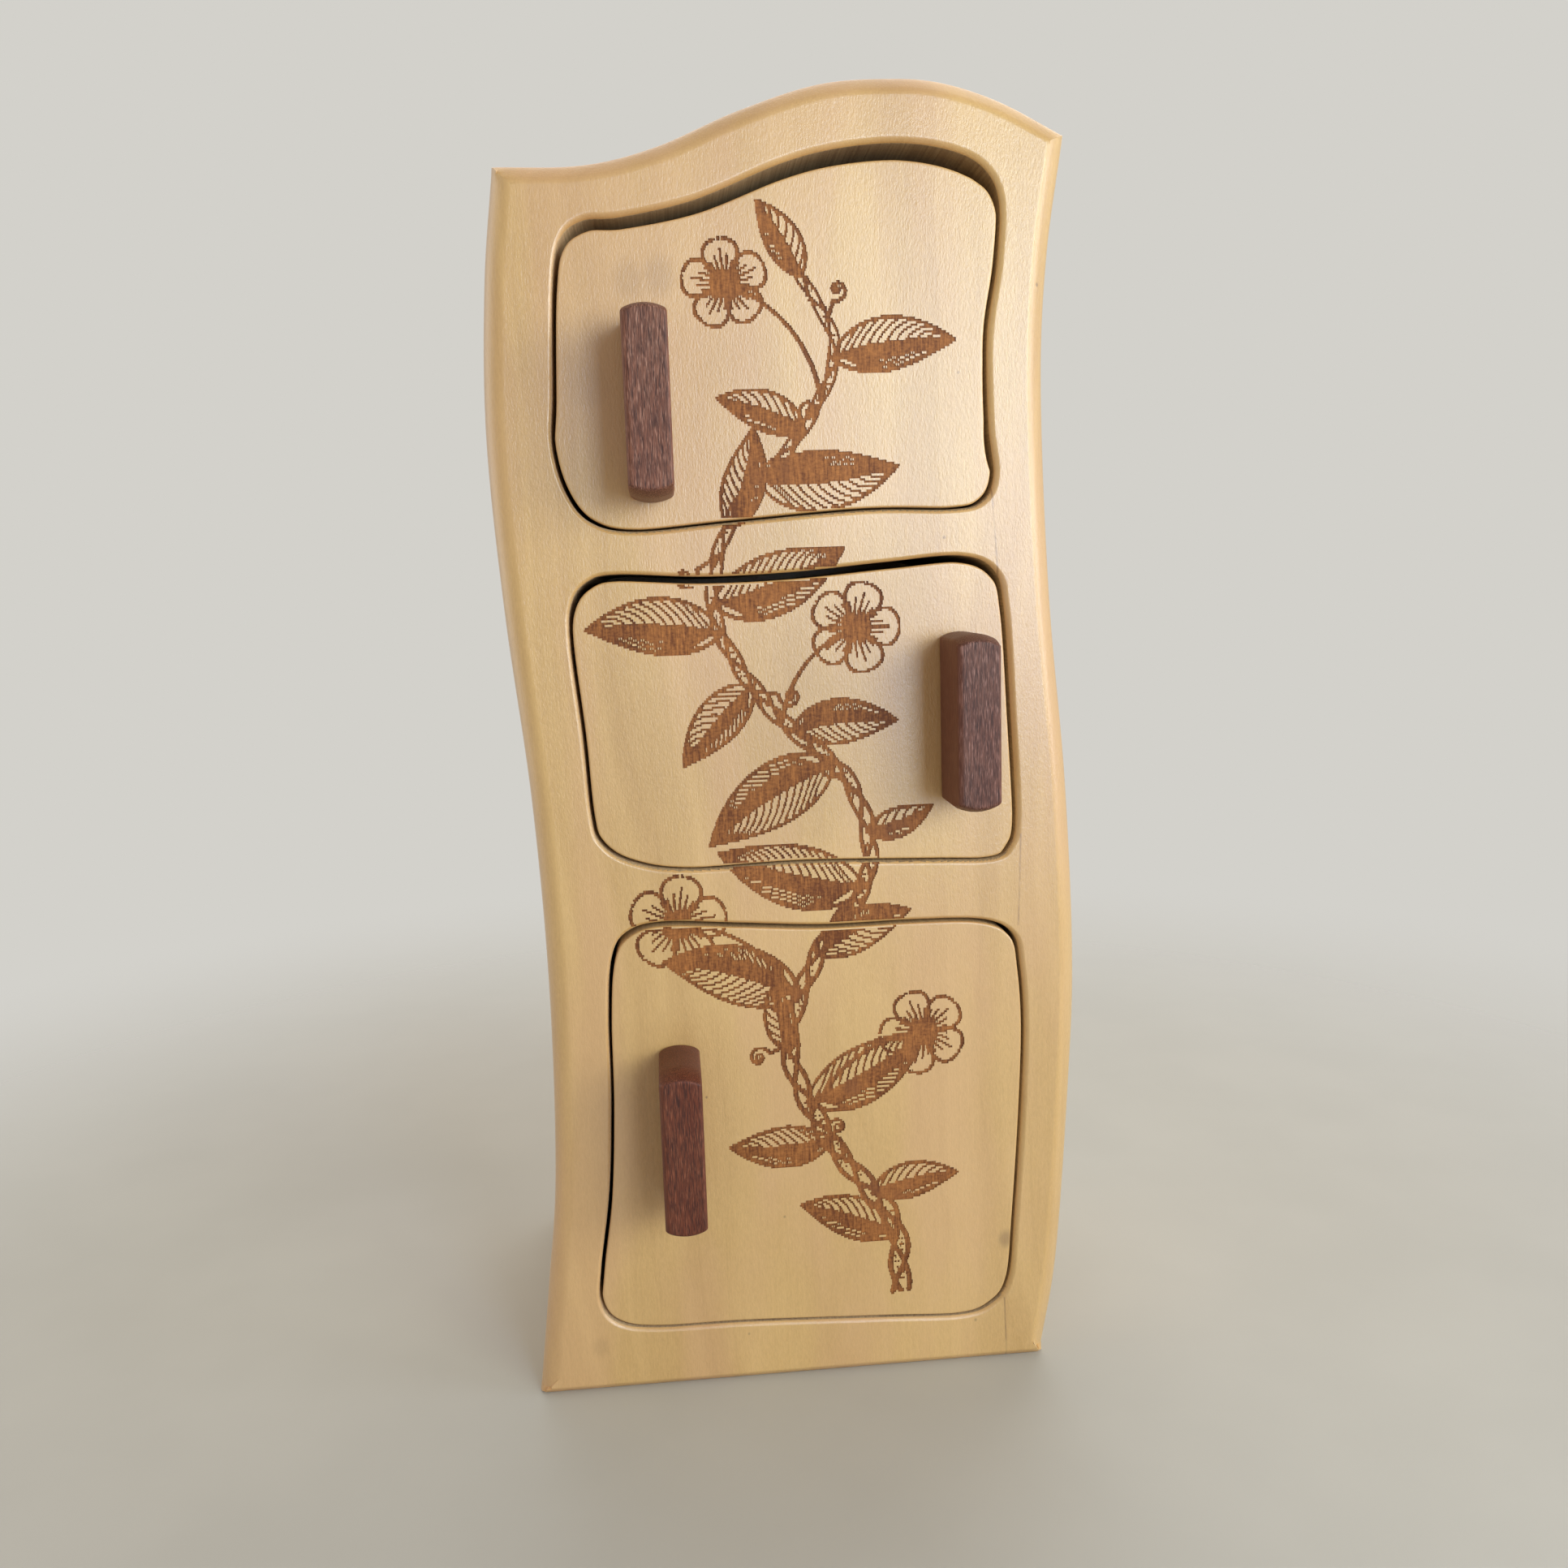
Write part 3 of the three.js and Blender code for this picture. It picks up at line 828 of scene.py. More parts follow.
class Recipe:
    """A material in the making: each call adds a node and gives its output."""

    def __init__(self, name: str) -> None:
        """Starts a material with one Principled shader.

        Args:
            name: The material's name.
        """
        self.material = bpy.data.materials.new(name)
        self.material.use_nodes = True
        self.nodes = self.material.node_tree.nodes
        self.links = self.material.node_tree.links
        self.nodes.clear()
        self.shader = self.nodes.new("ShaderNodeBsdfPrincipled")
        output = self.nodes.new("ShaderNodeOutputMaterial")
        self.links.new(self.shader.outputs["BSDF"], output.inputs["Surface"])
        place = self.nodes.new("ShaderNodeTexCoord")
        self.place = self.reach("SCALE", place.outputs["Object"], 1000.0)

    def put(self, socket: Socket, value: float | tuple | Socket) -> None:
        """Links an output to a socket, or sets the socket's own value."""
        if isinstance(value, bpy.types.NodeSocket):
            self.links.new(value, socket)
        else:
            socket.default_value = value

    def sum(self, operation: str, *values: float | Socket, clamp: bool = False) -> Socket:
        """A Math node's result."""
        node = self.nodes.new("ShaderNodeMath")
        node.operation = operation
        node.use_clamp = clamp
        for socket, value in zip(node.inputs, values):
            self.put(socket, value)
        return node.outputs[0]

    def reach(self, operation: str, vector: Socket, other: float | tuple | Socket) -> Socket:
        """A Vector Math node's result, of a vector and a scale or another vector."""
        node = self.nodes.new("ShaderNodeVectorMath")
        node.operation = operation
        self.put(node.inputs[0], vector)
        self.put(node.inputs["Scale" if operation == "SCALE" else 1], other)
        return node.outputs["Value" if operation in ("LENGTH", "DISTANCE") else "Vector"]

    def parts(self, vector: Socket) -> list[Socket]:
        """The X, Y and Z parts of a vector."""
        node = self.nodes.new("ShaderNodeSeparateXYZ")
        self.put(node.inputs[0], vector)
        return list(node.outputs)

    def noise(
        self, per_mm: Triple, detail: float = 2, rough: float = 0.5, shift: Triple = (0, 0, 0)
    ) -> Socket:
        """Noise from 0 to 1 with a number of waves to the millimetre along each axis."""
        node = self.nodes.new("ShaderNodeTexNoise")
        place = self.reach("ADD", self.reach("MULTIPLY", self.place, per_mm), shift)
        self.put(node.inputs["Vector"], place)
        node.inputs["Scale"].default_value = 1
        node.inputs["Detail"].default_value = detail
        node.inputs["Roughness"].default_value = rough
        return node.outputs["Fac"]

    def step(self, value: Socket, low: float, high: float, start: float = 0, end: float = 1) -> Socket:
        """Goes smoothly from start to end as value goes from low to high."""
        node = self.nodes.new("ShaderNodeMapRange")
        node.interpolation_type = "SMOOTHSTEP"
        for name, number in zip(("From Min", "From Max", "To Min", "To Max"), (low, high, start, end)):
            node.inputs[name].default_value = number
        self.put(node.inputs["Value"], value)
        return node.outputs["Result"]

    def blend(
        self, share: float | Socket, first: Colour | Socket, second: Colour | Socket, way: str = "MIX"
    ) -> Socket:
        """A mix of two colours."""
        node = self.nodes.new("ShaderNodeMix")
        node.data_type = "RGBA"
        node.blend_type = way
        self.put(node.inputs["Factor"], share)
        for name, colour in (("A", first), ("B", second)):
            socket = next(s for s in node.inputs if s.name == name and s.type == "RGBA")
            self.put(socket, linear(colour) if isinstance(colour, tuple) else colour)
        return next(s for s in node.outputs if s.type == "RGBA")

    def attribute(self, name: str) -> Socket:
        """A number that the mesh keeps."""
        node = self.nodes.new("ShaderNodeAttribute")
        node.attribute_name = name
        return node.outputs["Fac"]

    def weigh(self, *terms: tuple[Socket, float]) -> Socket:
        """The sum of noises about their middle, each times its weight, plus a half."""
        total: float | Socket = 0.5 - sum(weight / 2 for _, weight in terms)
        for value, weight in terms:
            total = self.sum("MULTIPLY_ADD", value, weight, total)
        return total

    def bump(self, height: Socket, depth_mm: float, layer: str = "Normal") -> None:
        """Raises the surface, or the coat over it, by a height from 0 to 1 times a depth."""
        node = self.nodes.new("ShaderNodeBump")
        node.inputs["Strength"].default_value = 1
        node.inputs["Distance"].default_value = depth_mm * MM
        self.put(node.inputs["Height"], height)
        self.links.new(node.outputs["Normal"], self.shader.inputs[layer])

    def finish(self, colour: Socket, roughness: float | Socket, **sockets: float) -> bpy.types.Material:
        """Ends the material.

        Args:
            colour: The base colour.
            roughness: The roughness.
            **sockets: Numbers for the shader's other sockets, with _ for a space in their names.

        Returns:
            The material.
        """
        self.put(self.shader.inputs["Base Color"], colour)
        self.put(self.shader.inputs["Roughness"], roughness)
        for name, number in sockets.items():
            self.shader.inputs[name.replace("_", " ")].default_value = number
        return self.material


@dataclass(frozen=True)
class Blemish:
    """A mark in the wood of the front: its middle, its radius, its soft edge and how dark it is."""

    x: float
    z: float
    radius: float
    strength: float


@dataclass(frozen=True)
class Kerf:
    """A glued saw line on the front: its foot, its slant as a run for each rise, and its top's height."""

    foot_x: float
    foot_z: float
    slant: float
    top_z: float


KERFS = (Kerf(53.9, -1, -0.03, 17), Kerf(57.3, 113, 0.03, 136), Kerf(52.9, 196, -0.07, 217))


@dataclass(frozen=True)
class Timber:
    """Pale close-grained wood from one glued-up block.

    The growth rings are circles round an upright axis in front of each board, so they show as upright
    bands on the faces and as arcs on the end grain. Boards lie one behind another, each with its axis.
    The lacquer's index of refraction is higher than a real one's, and stands in for the bright room
    that a plain studio doesn't reflect.
    """

    name: str
    pale: Colour
    deep: Colour
    end_tint: Colour
    roughness: float
    flush: Colour = (216, 168, 124)
    coat: float = 0.0
    coat_roughness: float = 0.31
    coat_index: float = 1.72
    contrast: float = 1.0
    kerfs: tuple[Kerf, ...] = ()
    kerf_colour: Colour = (122, 82, 46)
    blemishes: tuple[Blemish, ...] = ()
    blemish_colour: Colour = (126, 90, 50)
    ray_tint: Colour = (250, 236, 214)
    stripe: tuple[float, float, float, float] = (41.6, 42.1, 48.0, 50.5)
    panel: float = 38.1
    ring_width: float = 5.2

    def ring_radius(self, recipe: Recipe, x: Socket, y: Socket) -> Socket:
        """The distance from the board's axis, warped by slow noise, and the board's own toss in it."""
        behind = recipe.sum("SUBTRACT", y, FRONT)
        board = recipe.sum("FLOOR", recipe.sum("DIVIDE", behind, BOARD_PITCH))
        toss = recipe.nodes.new("ShaderNodeTexWhiteNoise")
        toss.noise_dimensions = "1D"
        recipe.put(toss.inputs["W"], recipe.sum("ADD", board, 3.7))
        shift = recipe.parts(toss.outputs["Color"])
        middle = recipe.sum("MULTIPLY_ADD", shift[0], 170.0, -85.0)
        away_x = recipe.sum("SUBTRACT", x, middle)
        away_y = recipe.sum("ADD", y, recipe.sum("MULTIPLY_ADD", shift[1], 70.0, 105.0))
        squares = recipe.sum("ADD", recipe.sum("POWER", away_x, 2.0), recipe.sum("POWER", away_y, 2.0))
        radius = recipe.sum("SQRT", squares)
        slow = recipe.noise((0.012, 0.012, 0.0035), 2)
        quick = recipe.noise((0.09, 0.09, 0.007), 2)
        return recipe.sum("MULTIPLY_ADD", slow, 60.0, recipe.sum("MULTIPLY_ADD", quick, 4.5, radius))

    def kerf_line(self, recipe: Recipe, x: Socket, y: Socket, z: Socket) -> Socket:
        """The glued line where the blade went in: short slanting lines between the openings.

        The panel behind the sawn boards has none.
        """
        total: float | Socket = 0.0
        for kerf in self.kerfs:
            middle, half = (kerf.foot_z + kerf.top_z) / 2, (kerf.top_z - kerf.foot_z) / 2
            way = recipe.sum("MULTIPLY_ADD", z, -kerf.slant, x)
            off = recipe.sum("ABSOLUTE", recipe.sum("SUBTRACT", way, kerf.foot_x - kerf.slant * kerf.foot_z))
            line = recipe.step(off, 0.32, 0.08)
            between = recipe.sum("ABSOLUTE", recipe.sum("SUBTRACT", z, middle))
            total = recipe.sum("MULTIPLY_ADD", line, recipe.step(between, half, half - 0.5), total)
        return recipe.sum("MULTIPLY", total, recipe.sum("LESS_THAN", y, self.panel))

    def marks(self, recipe: Recipe, y: Socket) -> Socket:
        """The blemishes near the front face, as one darkness from 0 to 1."""
        total: float | Socket = 0.0
        for mark in self.blemishes:
            away = recipe.reach("SUBTRACT", recipe.place, (mark.x, 0, mark.z))
            flat = recipe.reach("MULTIPLY", away, (1, 0, 0.8))
            distance = recipe.reach("LENGTH", flat, (0, 0, 0))
            spot = recipe.step(distance, mark.radius, mark.radius * 0.25, 0, mark.strength)
            total = recipe.sum("MAXIMUM", spot, total)
        return recipe.sum("MULTIPLY", total, recipe.step(y, -47, -49))

    def material(self) -> bpy.types.Material:
        """The finished wood."""
        recipe = Recipe(self.name)
        x, y, z = recipe.parts(recipe.place)
        radius = self.ring_radius(recipe, x, y)
        turn = recipe.sum("FRACT", recipe.sum("DIVIDE", radius, self.ring_width))
        late = recipe.sum("POWER", turn, 5.0)
        band = recipe.nodes.new("ShaderNodeTexNoise")
        band.noise_dimensions = "1D"
        recipe.put(band.inputs["W"], recipe.sum("MULTIPLY", radius, 0.16))
        band.inputs["Scale"].default_value = 1
        band.inputs["Detail"].default_value = 2
        fibre = recipe.noise((2.4, 2.4, 0.045), 3, 0.6)
        fleck = recipe.noise((2.9, 2.9, 0.8), 2, 0.6, (3, 1, 7))
        mottle = recipe.noise((0.045, 0.045, 0.022), 3, 0.55, (9, 4, 2))
        tone = recipe.weigh(
            (band.outputs["Fac"], 0.85 * self.contrast), (fibre, 0.42 * self.contrast),
            (fleck, 0.85 * self.contrast), (mottle, 0.8 * self.contrast), (late, -0.12 * self.contrast),
        )
        wander = recipe.sum("MULTIPLY_ADD", recipe.noise((0.12, 0.12, 0.04), 2, 0.6, (6, 1, 1)), 4.5, x)
        left, crisp, soft, right = self.stripe
        stripe = recipe.sum("MULTIPLY", recipe.step(wander, left, crisp), recipe.step(wander, right, soft))
        tone = recipe.sum("MULTIPLY_ADD", stripe, 0.2, tone, clamp=True)
        colour = recipe.blend(tone, self.deep, self.pale)
        flush = recipe.noise((0.05, 0.05, 0.012), 2, 0.5, (8, 2, 5))
        colour = recipe.blend(recipe.step(flush, 0.42, 0.68, 0, 0.35), colour, self.flush)
        grain = recipe.sum("POWER", recipe.attribute("end_grain"), 2.0)
        rays = recipe.noise((0.9, 0.9, 0.02), 2, 0.6, (5, 5, 5))
        tint = recipe.blend(recipe.step(rays, 0.3, 0.7), self.end_tint, self.ray_tint)
        tinted = recipe.blend(1.0, colour, tint, "MULTIPLY")
        colour = recipe.blend(recipe.sum("MULTIPLY", grain, 0.9), colour, tinted)
        if self.kerfs:
            worn = recipe.step(recipe.noise((0.3, 0.3, 0.16), 2, 0.6, (4, 7, 7)), 0.3, 0.65, 0.15, 0.6)
            line = recipe.sum("MULTIPLY", self.kerf_line(recipe, x, y, z), worn)
            colour = recipe.blend(line, colour, self.kerf_colour)
        if self.blemishes:
            colour = recipe.blend(self.marks(recipe, y), colour, self.blemish_colour)
        peel = recipe.noise((2.8, 2.8, 1.5), 2, 0.7, (2, 8, 4))
        recipe.bump(recipe.weigh((fibre, 0.25), (fleck, 0.45), (peel, 0.4)), 0.05)
        recipe.bump(recipe.weigh((fleck, 0.5), (peel, 0.5)), 0.14, "Coat Normal")
        shine = recipe.sum("MULTIPLY_ADD", fibre, 0.14, self.roughness - 0.07)
        shine = recipe.sum("MULTIPLY_ADD", grain, 0.2, shine)
        if self.coat:
            soaked = recipe.sum("MULTIPLY_ADD", grain, -0.85 * self.coat, self.coat)
            recipe.put(recipe.shader.inputs["Coat Weight"], soaked)
        return recipe.finish(colour, shine, Coat_Roughness=self.coat_roughness, Coat_IOR=self.coat_index)


@dataclass(frozen=True)
class BurntWood:
    """Wood burnt row by row: brown, with lighter streaks along the grain and reddish patches."""

    name: str = "burnt_wood"
    dark: Colour = (108, 58, 24)
    light: Colour = (188, 122, 62)
    patch: Colour = (96, 50, 32)

    def material(self) -> bpy.types.Material:
        """The finished burn."""
        recipe = Recipe(self.name)
        streak = recipe.noise((1.9, 1.9, 0.22), 3, 0.65)
        rows = recipe.noise((0.9, 0.9, 1.6), 2, 0.6, (1, 6, 3))
        broad = recipe.noise((0.09, 0.09, 0.05), 2, 0.5, (4, 4, 1))
        tone = recipe.sum("ADD", recipe.weigh((streak, 2.0), (rows, 1.2), (broad, 1.3)), -0.1, clamp=True)
        colour = recipe.blend(tone, self.dark, self.light)
        colour = recipe.blend(recipe.step(broad, 0.58, 0.75, 0, 0.55), colour, self.patch)
        recipe.bump(recipe.weigh((streak, 0.6), (rows, 0.8)), 0.06)
        return recipe.finish(colour, 0.62, Specular_IOR_Level=0.35)


@dataclass(frozen=True)
class SawnWood:
    """Walls that the blade left: fine ridges from front to back, browned here and there by its heat.

    Walls that look sideways are painted paler towards the left. This painted light lifts the shade in the
    narrow saw line, which would otherwise look too black.
    """

    name: str = "sawn_wood"
    pale: Colour = (192, 166, 126)
    brown: Colour = (118, 92, 64)
    brownness: float = 0.5
    # Painted light: the paler colour that sideways walls at the left are lightened towards.
    along: Colour = (242, 210, 166)

    def material(self) -> bpy.types.Material:
        """The finished walls."""
        recipe = Recipe(self.name)
        ridge = recipe.noise((1.7, 0.02, 1.7), 3, 0.6)
        heat = recipe.noise((0.06, 0.02, 0.06), 2, 0.5, (7, 3, 5))
        fibre = recipe.noise((2.0, 2.0, 0.06), 2, 0.5, (1, 1, 9))
        share = recipe.weigh((ridge, 1.3), (heat, 0.9), (fibre, 0.5))
        share = recipe.sum("ADD", share, self.brownness - 0.5, clamp=True)
        colour = recipe.blend(share, self.pale, self.brown)
        # Painted light: walls that look sideways are lightened, most at the left, against the shade in the
        # saw line.
        left = recipe.step(recipe.parts(recipe.place)[0], 30, -10, 0.1, 0.9)
        painted_light_share = recipe.sum("MULTIPLY", recipe.attribute("side_grain"), left)
        colour = recipe.blend(painted_light_share, colour, recipe.blend(share, self.along, self.pale))
        recipe.bump(recipe.weigh((ridge, 0.8), (fibre, 0.2)), 0.12)
        return recipe.finish(colour, 0.7, Specular_IOR_Level=0.3)


@dataclass(frozen=True)
class PullWood:
    """Purple-brown wood with open pores: light flecks and dark pores run along the bar."""

    name: str
    ground: Colour
    fleck: Colour
    side: Colour
    pore: Colour = (62, 34, 27)
    glow: Colour = (150, 96, 80)

    def material(self) -> bpy.types.Material:
        """The finished wood."""
        recipe = Recipe(self.name)
        streak = recipe.noise((4.0, 3.0, 0.3), 3, 0.65)
        light = recipe.noise((4.4, 3.4, 0.36), 2, 0.6, (6, 2, 4))
        pores = recipe.noise((4.6, 4.6, 0.32), 1, 0.5, (1, 9, 2))
        broad = recipe.noise((0.22, 0.22, 0.06), 2, 0.5, (3, 5, 8))
        side = recipe.sum("MULTIPLY", recipe.attribute("side_grain"), 0.65)
        colour = recipe.blend(recipe.step(streak, 0.3, 0.7), self.pore, self.ground)
        colour = recipe.blend(recipe.step(light, 0.5, 0.72, 0, 0.85), colour, self.fleck)
        colour = recipe.blend(recipe.step(pores, 0.38, 0.28, 0, 0.8), colour, self.pore)
        colour = recipe.blend(side, colour, self.side)
        colour = recipe.blend(recipe.step(broad, 0.3, 0.7, 0, 0.25), colour, self.glow, "SOFT_LIGHT")
        recipe.bump(recipe.weigh((streak, 0.5), (pores, 0.6)), 0.06)
        return recipe.finish(colour, 0.52, Specular_IOR_Level=0.34)


@dataclass(frozen=True)
class Felt:
    """Dense wool felt: matted short fibres in every direction, with a soft sheen."""

    name: str = "wine_felt"
    dark: Colour = (72, 20, 28)
    light: Colour = (128, 48, 58)

    def material(self) -> bpy.types.Material:
        """The finished felt."""
        recipe = Recipe(self.name)
        fibre = recipe.noise((3.2, 3.2, 3.2), 4, 0.7)
        clump = recipe.noise((0.35, 0.35, 0.35), 2, 0.5, (2, 2, 6))
        tone = recipe.sum("ADD", recipe.weigh((fibre, 1.6), (clump, 0.8)), 0, clamp=True)
        colour = recipe.blend(tone, self.dark, self.light)
        recipe.bump(fibre, 0.35)
        return recipe.finish(
            colour, 0.95, Specular_IOR_Level=0.15, Sheen_Weight=0.35, Sheen_Roughness=0.5,
        )


@dataclass(frozen=True)
class Finishes:
    """The box's finishes, as Blender materials."""

    case: bpy.types.Material
    drawer: bpy.types.Material
    burnt: bpy.types.Material
    sawn: bpy.types.Material
    drawer_sawn: bpy.types.Material
    inner: bpy.types.Material
    pulls: dict[Body, bpy.types.Material]
    dowel: bpy.types.Material
    felt: bpy.types.Material


BLEMISHES = (
    Blemish(62.4, 261.2, 0.55, 0.75), Blemish(44, 242.3, 0.4, 0.5), Blemish(40.3, 205.8, 0.5, 0.6),
    Blemish(-19.5, 74.8, 0.4, 0.7), Blemish(-1.6, 42.7, 0.4, 0.55), Blemish(45.9, 11.2, 0.5, 0.5),
    Blemish(-11.4, 12.4, 0.4, 0.45), Blemish(53.7, 32.5, 2.6, 0.5), Blemish(-22.4, 264, 5.0, 0.22),
    Blemish(-29.0, 263, 5.0, 0.2), Blemish(-48, 12, 3.0, 0.16), Blemish(-39, 241, 6, 0.14),
)


# Painted light and shade: one wood in three copies. The upper pull is painted lighter and the lower one
# darker and redder, for the light that falls on each.
PULL_COLOURS_LIT_AND_SHADED = (
    (Body.UPPER, ((140, 94, 74), (186, 144, 124), (128, 80, 60))),
    (Body.MIDDLE, ((118, 78, 64), (168, 128, 116), (116, 68, 50))),
    (Body.LOWER, ((118, 62, 40), (150, 92, 66), (112, 64, 46))),
)


def make_finishes() -> Finishes:
    """Makes every finish once."""
    block = dict(pale=(223, 183, 116), deep=(194, 152, 88), end_tint=(246, 224, 200), roughness=0.42)
    return Finishes(
        case=Timber("case_wood_finish", coat=1.0, kerfs=KERFS, blemishes=BLEMISHES, **block).material(),
        drawer=Timber("drawer_wood_finish", coat=1.0, blemishes=BLEMISHES, **block).material(),
        burnt=BurntWood().material(),
        sawn=SawnWood().material(),
        drawer_sawn=SawnWood("drawer_sawn_finish", (208, 174, 124), (158, 122, 82), 0.4).material(),
        inner=Timber(
            "inner_wood_finish", (218, 183, 134), (184, 146, 98), (226, 200, 168), 0.62, contrast=1.6
        ).material(),
        pulls={
            body: PullWood(f"{body.value}_pull_finish", *colours).material() for body, colours in PULL_COLOURS_LIT_AND_SHADED
        },
        dowel=Timber(
            "dowel_wood_finish", (222, 190, 142), (190, 156, 108), (226, 204, 172), 0.7
        ).material(),
        felt=Felt().material(),
    )


@dataclass
class Opening:
    """A drawer's opening in the case: its floor, its size, and its outline as shares of its own box."""

    body: Body
    floor: float
    height: float
    left_margin: float
    right_margin: float
    top_gap: tuple[float, float]
    side_gap: float
    mouth: Easing
    pull_share: tuple[float, float]
    shares: tuple[tuple[float, float], ...]
    steps: int = 12
    floor_gap: float = 0.4

    @property
    def stem(self) -> str:
        """The start of the names of this drawer's nodes."""
        return self.body.value.split("_")[0]

    @cached_property
    def outline(self) -> np.ndarray:
        """The opening's outline, anticlockwise from the middle of its top."""
        left = CASE_LEFT + self.left_margin
        width = CASE_WIDTH - self.left_margin - self.right_margin
        keys = np.array(self.shares) * [width, self.height] + [left, self.floor]
        return smooth_curve(keys, self.steps, True)

    @cached_property
    def drawer_outline(self) -> np.ndarray:
        """The drawer's outline: a saw line smaller at the sides, and with its own room above and below."""
        low, high = self.outline.min(0), self.outline.max(0)
        _, outward = wall_shift(self.outline)
        across = (self.outline[:, 0] - low[0]) / (high[0] - low[0])
        above = self.top_gap[0] + (self.top_gap[1] - self.top_gap[0]) * across
        up_down = np.where(outward[:, 1] > 0, above, self.floor_gap)
        return inset(self.outline, np.abs(outward[:, 0]) * self.side_gap + np.abs(outward[:, 1]) * up_down)

    @property
    def pull_middle(self) -> np.ndarray:
        """The middle of the pull on the front plane."""
        low, high = self.outline.min(0), self.outline.max(0)
        return low + (high - low) * self.pull_share


UPPER_OPENING = Opening(
    Body.UPPER, 209.1, 82.1, 15.9, 18, (2.1, 4.1), 0.92,
    Easing(0.7, 1.5, 1.5, 1.1, 0.4, 0.4), (0.2141, 0.3186),
    (
        (0.509, 0.944), (0.332, 0.859), (0.174, 0.817), (0.091, 0.808), (0.041, 0.759), (0.021, 0.644),
        (0.008, 0.376), (0.001, 0.230), (0.025, 0.108), (0.076, 0.028), (0.174, 0.000), (0.391, 0.018),
        (0.686, 0.041), (0.883, 0.037), (0.954, 0.056), (0.982, 0.127), (0.971, 0.267), (0.969, 0.498),
        (0.992, 0.687), (0.998, 0.851), (0.962, 0.939), (0.883, 0.984), (0.765, 1.000), (0.627, 0.983),
    ),
)
MIDDLE_OPENING = Opening(
    Body.MIDDLE, 130, 71.6, 17.4, 15, (1.5, 1.6), 0.88,
    Easing(0.8, 1.5, 0.9, 1.2, 0.4, 0.4), (0.87, 0.479),
    (
        (0.497, 0.964), (0.303, 0.958), (0.113, 0.973), (0.046, 0.953), (0.009, 0.883), (0.002, 0.754),
        (0.018, 0.461), (0.027, 0.209), (0.045, 0.115), (0.109, 0.050), (0.235, 0.015), (0.497, 0.021),
        (0.788, 0.006), (0.938, 0.000), (0.984, 0.036), (1.000, 0.140), (0.989, 0.489), (0.975, 0.824),
        (0.952, 0.950), (0.875, 1.000), (0.710, 0.987),
    ),
)
LOWER_OPENING = Opening(
    Body.LOWER, 13, 105.7, 15.9, 13.2, (1.1, 0.7), 0.75,
    Easing(0.8, 1.4, 0.8, 1.4, 0.4, 0.4), (0.2077, 0.5252),
    (
        (0.542, 0.974), (0.354, 0.988), (0.185, 1.000), (0.105, 0.981), (0.069, 0.925), (0.055, 0.795),
        (0.050, 0.587), (0.035, 0.369), (0.008, 0.189), (0.003, 0.100), (0.040, 0.049), (0.129, 0.029),
        (0.336, 0.025), (0.655, 0.009), (0.843, 0.000), (0.920, 0.023), (0.961, 0.083), (0.976, 0.237),
        (0.993, 0.501), (1.000, 0.710), (0.992, 0.851), (0.974, 0.929), (0.904, 0.966), (0.749, 0.974),
    ),
)
OPENINGS = (UPPER_OPENING, MIDDLE_OPENING, LOWER_OPENING)


